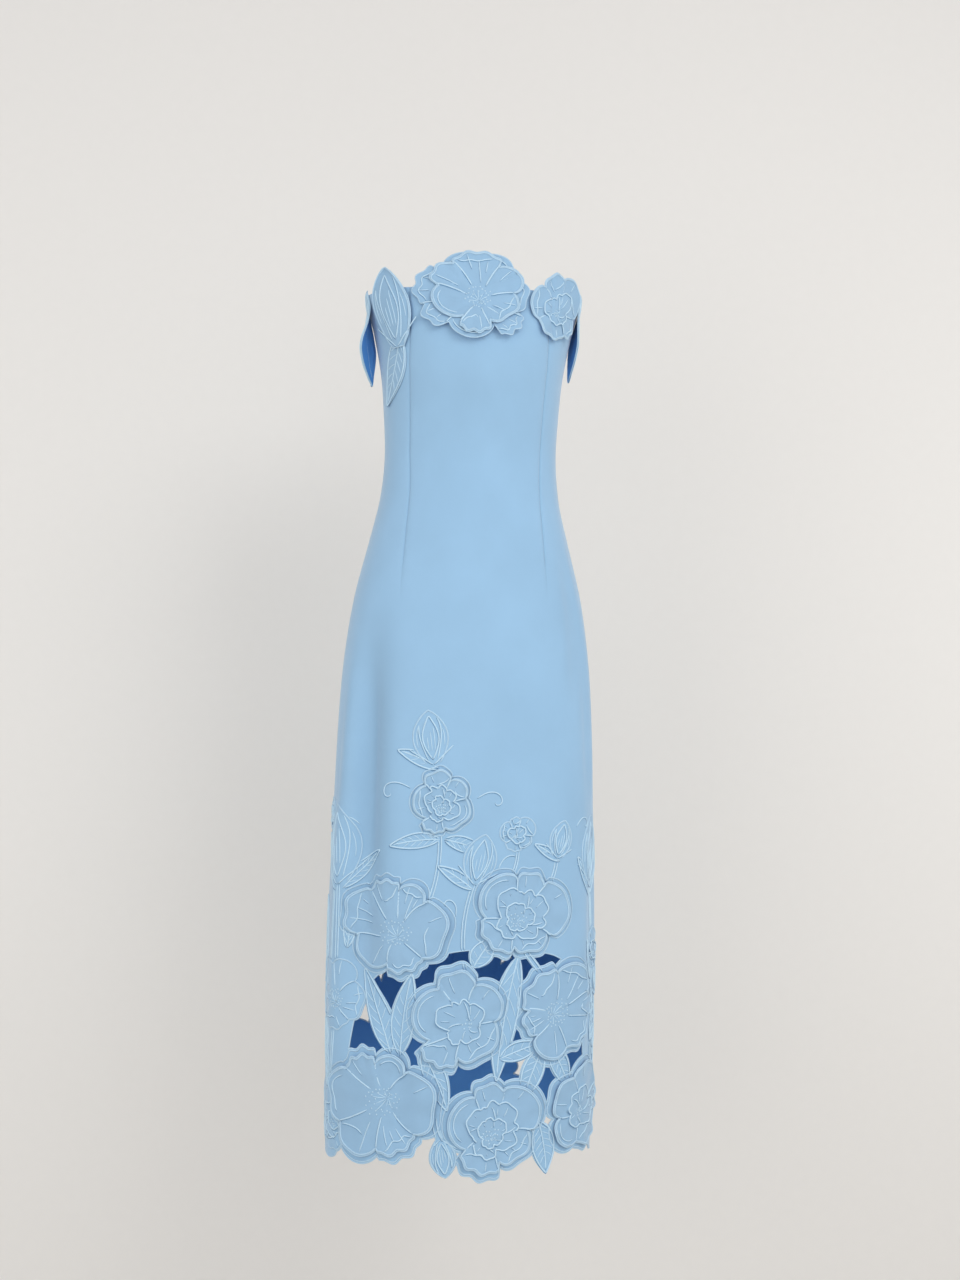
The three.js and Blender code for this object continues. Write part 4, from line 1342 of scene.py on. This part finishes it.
class DressColours(bpy.types.PropertyGroup):
    """Colours of the cloth, the thread, the zip and the room."""

    crepe: bpy.props.FloatVectorProperty(
        name="Crepe", description="Colour of the panels", default=tint(148, 185, 214), size=3,
        subtype="COLOR", min=0, max=1)
    petal: bpy.props.FloatVectorProperty(
        name="Petals", description="Colour of the sewn-on flowers", default=tint(146, 181, 209), size=3,
        subtype="COLOR", min=0, max=1)
    thread: bpy.props.FloatVectorProperty(
        name="Thread", description="Colour of the stitched lines", default=tint(188, 217, 234), size=3,
        subtype="COLOR", min=0, max=1)
    # The colour of the painted shadow laid beside the stitched lines.
    deep_thread: bpy.props.FloatVectorProperty(
        name="Painted shadow thread", description="Colour of the thread beside the stitched lines",
        default=tint(94, 136, 174), size=3, subtype="COLOR", min=0, max=1)
    reverse: bpy.props.FloatVectorProperty(
        name="Reverse", description="Colour of the cloth's inner side", default=tint(98, 162, 228),
        size=3, subtype="COLOR", min=0, max=1)
    tape: bpy.props.FloatVectorProperty(
        name="Zip tape", description="Colour of the zip's tape and teeth", default=tint(120, 164, 206),
        size=3, subtype="COLOR", min=0, max=1)
    zip: bpy.props.FloatVectorProperty(
        name="Zip", description="Colour of the zip's slider and tab", default=tint(150, 186, 214),
        size=3, subtype="COLOR", min=0, max=1)
    wall: bpy.props.FloatVectorProperty(
        name="Wall", description="Colour of the wall and floor", default=tint(226, 223, 218), size=3,
        subtype="COLOR", min=0, max=1)


class DressRoom(bpy.types.PropertyGroup):
    """Where the camera, the wall and the floor stand."""

    distance: bpy.props.FloatProperty(
        name="Distance", description="From the dress to the camera", default=2.3, unit="LENGTH")
    height: bpy.props.FloatProperty(
        name="Height", description="Of the camera against the neckline", default=-0.455,
        unit="LENGTH")
    turn: bpy.props.FloatProperty(
        name="Turn", description="Of the camera round the dress", default=math.radians(-6),
        subtype="ANGLE")
    lead: bpy.props.FloatProperty(
        name="Lead", description="How far the camera looks past the dress", default=math.radians(0.44),
        subtype="ANGLE")
    roll: bpy.props.FloatProperty(
        name="Roll", description="Of the camera", default=math.radians(1.05), subtype="ANGLE")
    lens: bpy.props.FloatProperty(
        name="Lens", description="Focal length on a frame 36 mm tall", default=47.9, min=10)
    wall: bpy.props.FloatProperty(
        name="Wall", description="From the dress to the wall behind it", default=0.6,
        unit="LENGTH")
    floor: bpy.props.FloatProperty(
        name="Floor", description="Height of the floor against the neckline", default=-1.75,
        unit="LENGTH")
    size: bpy.props.FloatProperty(
        name="Width", description="Of the wall and the floor", default=9.0, unit="LENGTH")


# ---------------------------------------------------------------- operators


def settings():
    scene = bpy.context.scene
    return scene.dress_sizes, scene.dress_colours, scene.dress_room


def on_dress(thing, slot, *nodes):
    """A finished piece moves with the dress and stands for the CAD nodes named."""
    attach(thing, "dress")
    if nodes:
        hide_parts(*nodes)
    return thing


CUT_ROWS = 81  # rows and columns that a piece's cut is measured along


def state_cut(places, triangles, out):
    """Works out a sheet's shaped cloth over a grid across its cut and at its places; nothing is kept or
    given back.
    """
    used = places[np.unique(triangles)]
    low, high = used.min(0), used.max(0)
    s, z = (axis.ravel() for axis in np.meshgrid(np.linspace(low[0], high[0], CUT_ROWS),
                                                 np.linspace(low[1], high[1], CUT_ROWS)))
    grid = cloth(s, z, out(s, z)).reshape(CUT_ROWS, CUT_ROWS, 3) * MM
    points = cloth(places[:, 0], places[:, 1], out(places[:, 0], places[:, 1])) * MM


Side = namedtuple("Side", "name motifs raised tendrils outline")


def dress_sides():
    """What is stitched on the front and on the back."""
    front, behind = ground_outlines()
    raised = [row for row in BLOOMS if row.front_raised]
    raised_behind = [carried(row) for row in BLOOMS if row.back_raised]
    return [Side("front", FRONT_MOTIFS, raised, TENDRILS, front),
            Side("back", BACK_MOTIFS, raised_behind, [carried(row) for row in TENDRILS], behind)]


def panel_top(sides):
    """How far the stitched panels' outer face stands out at places (s, z)."""
    def top(s, z):
        return np.maximum.reduce([np.zeros_like(s)] + [puff(s, z, side.motifs, side.raised)
                                                       for side in sides])

    return top


# Each panel's piece, its CAD node and the places round the dress between which it lies.
PANELS = (("front_panel", "front", -SIDE, SIDE),
          ("back_left_panel", "back_left", SIDE, BACK),
          ("back_right_panel", "back_right", BACK, BACK + SIDE))


class DRESS_OT_panels(bpy.types.Operator):
    """Cuts and sews the front and the two back panels, with the openings of the hem"""

    bl_idname = "dress.panels"
    bl_label = "Panels"

    def execute(self, context):
        places, triangles = cloth_net()
        top = panel_top(dress_sides())(places[:, 0], places[:, 1])
        middle = places[triangles].mean(1)[:, 0]
        wall = settings()[0].wall / MM
        for name, node_name, low, high in PANELS:
            own = triangles[(middle > low) & (middle < high)]
            cut = places.copy()
            cut[:, 0] = np.clip(cut[:, 0], low + SEAM_GAP, high - SEAM_GAP)
            # the dim attribute carries painted shade along the seams and darts and in the hip fold's
            # hollow
            thing = shell(name, cut, own, top, wall, [finish("crepe"), finish("reverse")],
                          dim=seam_dim(cut[:, 0], cut[:, 1]))
            on_dress(thing, "crepe", node_name)
            state_cut(cut, own, lambda s, z: 0.0)
        return {"FINISHED"}


class DRESS_OT_bindings(bpy.types.Operator):
    """Binds the cut edges of the openings and the hem with close stitching"""

    bl_idname = "dress.bindings"
    bl_label = "Bound edges"

    def execute(self, context):
        sizes = settings()[0]
        places, triangles = cloth_net()
        top_of = panel_top(dress_sides())
        lines = []
        for chain in chains(border_pairs(triangles)):
            closed = chain[0] == chain[-1]
            line = places[chain[:-1] if closed else chain]
            bound = (np.abs(line[:, 0] + SIDE) > 0.01) & (np.abs(line[:, 0] - BACK - SIDE) > 0.01)
            bound &= line[:, 1] < -1
            if closed and bound.all():
                lines.append(Line(line, sizes.binding / MM, True))
                continue
            if closed:
                first = int(np.flatnonzero(~bound)[0])
                line, bound = np.roll(line, -first, 0), np.roll(bound, -first)
            lines += [Line(run, sizes.binding / MM, False) for run in kept_runs(line, bound)]
        half = sizes.binding / MM / 2
        made = stitched(lines, lambda s, z: top_of(s, z) - sizes.wall / MM / 2, half)
        on_dress(cords("hem_binding", [(*cord[:3], half, cord[4]) for cord in made]), "embroidery")
        return {"FINISHED"}


def sew(name, knots_name, lines, beads):
    """Lays cords and knots on the dress; beads pairs the knots' places with the surface they lie on."""
    on_dress(cords(name, lines), "embroidery")
    points, normals = zip(*(on_surface(places, out) for places, out in beads))
    on_dress(knots(knots_name, np.concatenate(points), np.concatenate(normals),
                   settings()[0].knot / MM, finish("thread")), "embroidery")


class DRESS_OT_embroidery(bpy.types.Operator):
    """Stitches the flowers, buds, leaves and stems on the panels"""

    bl_idname = "dress.embroidery"
    bl_label = "Embroidery"

    def execute(self, context):
        sides = dress_sides()
        top = panel_top(sides)
        for side in sides:
            lines, beads = side_lines(side)
            made = stitched(lines, top, settings()[0].cord / MM)
            sew(side.name + "_embroidery", side.name + "_knots", made, [(beads, top)])
        return {"FINISHED"}


RIM_WIDTH, RIM_HEIGHT = 1.01 * EDGE_WIDTH, 0.8  # of the stitching over a sewn-on piece's edge


def sewn_piece(name, node_name, row, out, drawn):
    """Sews on one piece of cloth, and gives the stitching over its edge and the lines drawn on it."""
    sizes = settings()[0]
    wall = sizes.petal_wall / MM
    seams = petal_seams(row) if isinstance(row, Bloom) else []
    places, triangles = cut_piece(rim_of(row), sizes.net_petal / MM, seams)
    thing = shell(name, places, triangles, out(places[:, 0], places[:, 1]), wall,
                  [finish("petal"), finish("reverse")], PETAL_ANGLE)
    on_dress(thing, "petal", node_name)
    state_cut(places, triangles, out)
    rim = places[chains(border_pairs(triangles))[0][:-1]]
    edge = (*on_surface(rim, lambda s, z: out(s, z) - wall / 2), RIM_WIDTH, RIM_HEIGHT, True)
    return [edge] + stitched([Line(spaced(line.places, STITCH, line.closed), line.width, line.closed)
                              for line in drawn], out, sizes.cord / MM)


class DRESS_OT_hem_flowers(bpy.types.Operator):
    """Sews the raised flowers over the hem, in front and behind"""

    bl_idname = "dress.hem_flowers"
    bl_label = "Hem flowers"

    def execute(self, context):
        for side in dress_sides():
            lines, beads = [], []
            for row in side.raised:
                small, out = inner_row(row), hem_flower_out(row)
                lines += sewn_piece(f"hem_flower_{side.name}_{row.name}",
                                    f"hem_bloom_{side.name}_{row.name}", small, out, bloom_lines(small))
                beads.append((bloom_knots(small), out))
            sew(f"hem_flower_stitching_{side.name}", f"hem_flower_knots_{side.name}", lines, beads)
        return {"FINISHED"}


class DRESS_OT_neck_flowers(bpy.types.Operator):
    """Sews the flowers, the bud and the leaves along the neckline"""

    bl_idname = "dress.neck_flowers"
    bl_label = "Neckline flowers"

    def execute(self, context):
        lines, beads = [], []
        for piece in NECKLINE:
            row, out = piece.shape, neck_out(piece)
            covered = piece.name == "neck_flower_lower"
            drawn = covered_lines(row) if covered else lines_of(row)
            lines += sewn_piece(piece.name, piece.node, row, out, drawn)
            if isinstance(row, Bloom) and not covered:
                beads.append((bloom_knots(row), out))
        sew("neck_stitching", "neck_knots", lines, beads)
        return {"FINISHED"}


ZIP_TOP, ZIP_LOW = -5.0, -420.0
ZIP_HALF = 12.0
TAPE = 1.1  # wall of the tape
TAPE_STEP = 4.0  # pitch of its net
SLOT_HALF, SLOT_LOW = 1.6, -22.0
TOOTH_PITCH = 2.1
TOOTH_OFF = 1.1  # from the middle of the zip
TOOTH_SIZE = 1.15
TOOTH_RISE = 0.35  # a tooth's middle over the tape's face


class DRESS_OT_zip(bpy.types.Operator):
    """Sews the zip's tape inside the centre back seam and sets its teeth"""

    bl_idname = "dress.zip"
    bl_label = "Zip"

    def execute(self, context):
        outline = np.array([(BACK + s, z) for s, z in (
            (-ZIP_HALF, ZIP_TOP), (-SLOT_HALF, ZIP_TOP), (-SLOT_HALF, SLOT_LOW), (SLOT_HALF, SLOT_LOW),
            (SLOT_HALF, ZIP_TOP), (ZIP_HALF, ZIP_TOP), (ZIP_HALF, ZIP_LOW), (-ZIP_HALF, ZIP_LOW))])
        places, triangles = cut_piece(outline, TAPE_STEP)
        thing = shell("zip_tape_woven", places, triangles, np.full(len(places), -CLOTH - GAP), TAPE,
                      [finish("tape"), finish("tape")])
        on_dress(thing, "zip_tape", "zip_tape")
        state_cut(places, triangles, lambda s, z: -CLOTH - GAP)
        heights = np.arange(SLOT_LOW - 4, ZIP_LOW + 8, -TOOTH_PITCH)
        teeth = np.concatenate([np.stack([np.full_like(heights, BACK + side * TOOTH_OFF),
                                          heights - shift * TOOTH_PITCH], -1)
                                for side, shift in ((-1, 0.0), (1, 0.5))])
        points, normals = on_surface(teeth, lambda s, z: -CLOTH - GAP - TAPE - TOOTH_RISE)
        on_dress(knots("zip_teeth", points, -normals, TOOTH_SIZE, finish("tape")), "zip_tape")
        for name in ("zip_slider", "zip_pull_tab"):
            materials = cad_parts[name].data.materials
            materials.clear()
            materials.append(finish("zip"))
        return {"FINISHED"}


# The soft lamps: where each stands and what it is turned to, its width and its power in watts.
Lamp = namedtuple("Lamp", "name at aim size power")
LAMPS = [
    Lamp("key", (1.0, -2.0, 0.9), (0.0, 0.0, -0.25), 1.2, 14.6),
    Lamp("fill", (0.3, -2.8, 0.2), (0.0, 0.0, -0.5), 2.4, 13.4),
    Lamp("low_left", (-1.8, -2.4, -0.3), (-0.4, 0.6, -1.3), 1.8, 13),
    Lamp("wash_left", (-1.5, -0.8, -0.3), (-1.0, 0.6, -0.6), 1.5, 4.5),
    Lamp("wash_right", (1.5, -0.8, -0.4), (1.0, 0.6, -0.7), 1.5, 6),
]
ROOM_TINT = (0.95, 0.96, 1.0, 1)
ROOM_LIGHT = 0.66  # strength of the light from all round
FRAME_TALL = 36.0  # height of the camera's frame, in millimetres
WALL_SHAPE = 1.6  # width of the wall against its height


class DRESS_OT_stage(bpy.types.Operator):
    """Sets the camera, the wall, the floor and the light"""

    bl_idname = "dress.stage"
    bl_label = "Stage"

    def execute(self, context):
        room = settings()[2]
        scene = context.scene
        place = Vector((math.sin(room.turn), -math.cos(room.turn), 0)) * room.distance
        place.z = room.height
        ahead = -room.turn + room.lead
        forward = Vector((math.sin(ahead), math.cos(ahead), 0))
        right = Vector((math.cos(ahead), -math.sin(ahead), 0))
        up = Vector((0, 0, 1))
        rolled_right = right * math.cos(room.roll) + up * math.sin(room.roll)
        rolled_up = up * math.cos(room.roll) - right * math.sin(room.roll)
        camera = bpy.data.objects.new("camera", bpy.data.cameras.new("camera"))
        camera.data.sensor_fit = "VERTICAL"
        camera.data.sensor_height = FRAME_TALL
        camera.data.lens = room.lens
        turned = Matrix((rolled_right, rolled_up, -forward)).transposed().to_4x4()
        camera.matrix_world = Matrix.Translation(place) @ turned
        scene.collection.objects.link(camera)
        scene.camera = camera

        plaster = finish("wall")
        see_through_behind(plaster)
        half, near, high = room.size / 2, room.wall - room.size, room.floor + room.size / WALL_SHAPE
        for name, corners in (("wall", ((room.wall, room.floor), (room.wall, high))),
                              ("floor", ((near, room.floor), (room.wall, room.floor)))):
            (y, z), (far_y, far_z) = corners
            mesh = bpy.data.meshes.new(name)
            mesh.from_pydata([(-half, y, z), (half, y, z), (half, far_y, far_z), (-half, far_y, far_z)],
                             [], [(0, 1, 2, 3)])
            mesh.materials.append(plaster)
            thing = bpy.data.objects.new(name, mesh)
            scene.collection.objects.link(thing)

        for row in LAMPS:
            lamp = bpy.data.lights.new(row.name, "AREA")
            lamp.shape, lamp.size, lamp.energy = "DISK", row.size, row.power
            thing = bpy.data.objects.new(row.name, lamp)
            thing.location = row.at
            way = Vector(row.aim) - Vector(row.at)
            thing.rotation_euler = way.to_track_quat("-Z", "Y").to_euler()
            scene.collection.objects.link(thing)
        world = bpy.data.worlds.new("pale room")
        world.use_nodes = True
        background = world.node_tree.nodes["Background"]
        background.inputs["Color"].default_value = ROOM_TINT
        background.inputs["Strength"].default_value = ROOM_LIGHT
        scene.world = world
        scene.view_settings.view_transform = "Standard"
        return {"FINISHED"}


def see_through_behind(material):
    """Lets a camera behind the wall see the dress."""
    tree = material.node_tree
    shader, output = tree.nodes["Principled BSDF"], tree.nodes["Material Output"]
    behind = tree.nodes.new("ShaderNodeNewGeometry").outputs["Backfacing"]
    clear = tree.nodes.new("ShaderNodeBsdfTransparent")
    both = node(tree, "ShaderNodeMixShader", {0: behind, 1: shader.outputs[0], 2: clear.outputs[0]})
    tree.links.new(both.outputs[0], output.inputs["Surface"])


OPERATORS = (DRESS_OT_stage, DRESS_OT_panels, DRESS_OT_bindings, DRESS_OT_embroidery,
             DRESS_OT_hem_flowers, DRESS_OT_neck_flowers, DRESS_OT_zip)


class DRESS_PT_steps(bpy.types.Panel):
    """The steps of making the dress, and what may be changed"""

    bl_idname = "DRESS_PT_steps"
    bl_label = "Column dress"
    bl_space_type = "VIEW_3D"
    bl_region_type = "UI"
    bl_category = "Dress"

    def draw(self, context):
        layout = self.layout
        for step in OPERATORS:
            layout.operator(step.bl_idname)
        for group in (context.scene.dress_sizes, context.scene.dress_colours, context.scene.dress_room):
            box = layout.box()
            for name in type(group).__annotations__:
                box.prop(group, name)


GROUPS = {"dress_sizes": DressSizes, "dress_colours": DressColours, "dress_room": DressRoom}
CLASSES = (*GROUPS.values(), *OPERATORS, DRESS_PT_steps)


def register():
    for made in CLASSES:
        bpy.utils.register_class(made)
    for name, group in GROUPS.items():
        setattr(bpy.types.Scene, name, bpy.props.PointerProperty(type=group))


def unregister():
    for name in GROUPS:
        delattr(bpy.types.Scene, name)
    for made in reversed(CLASSES):
        bpy.utils.unregister_class(made)


def main():
    register()
    for step in OPERATORS:
        getattr(bpy.ops.dress, step.bl_idname.split(".")[1])()


if __name__ == "__main__":
    main()
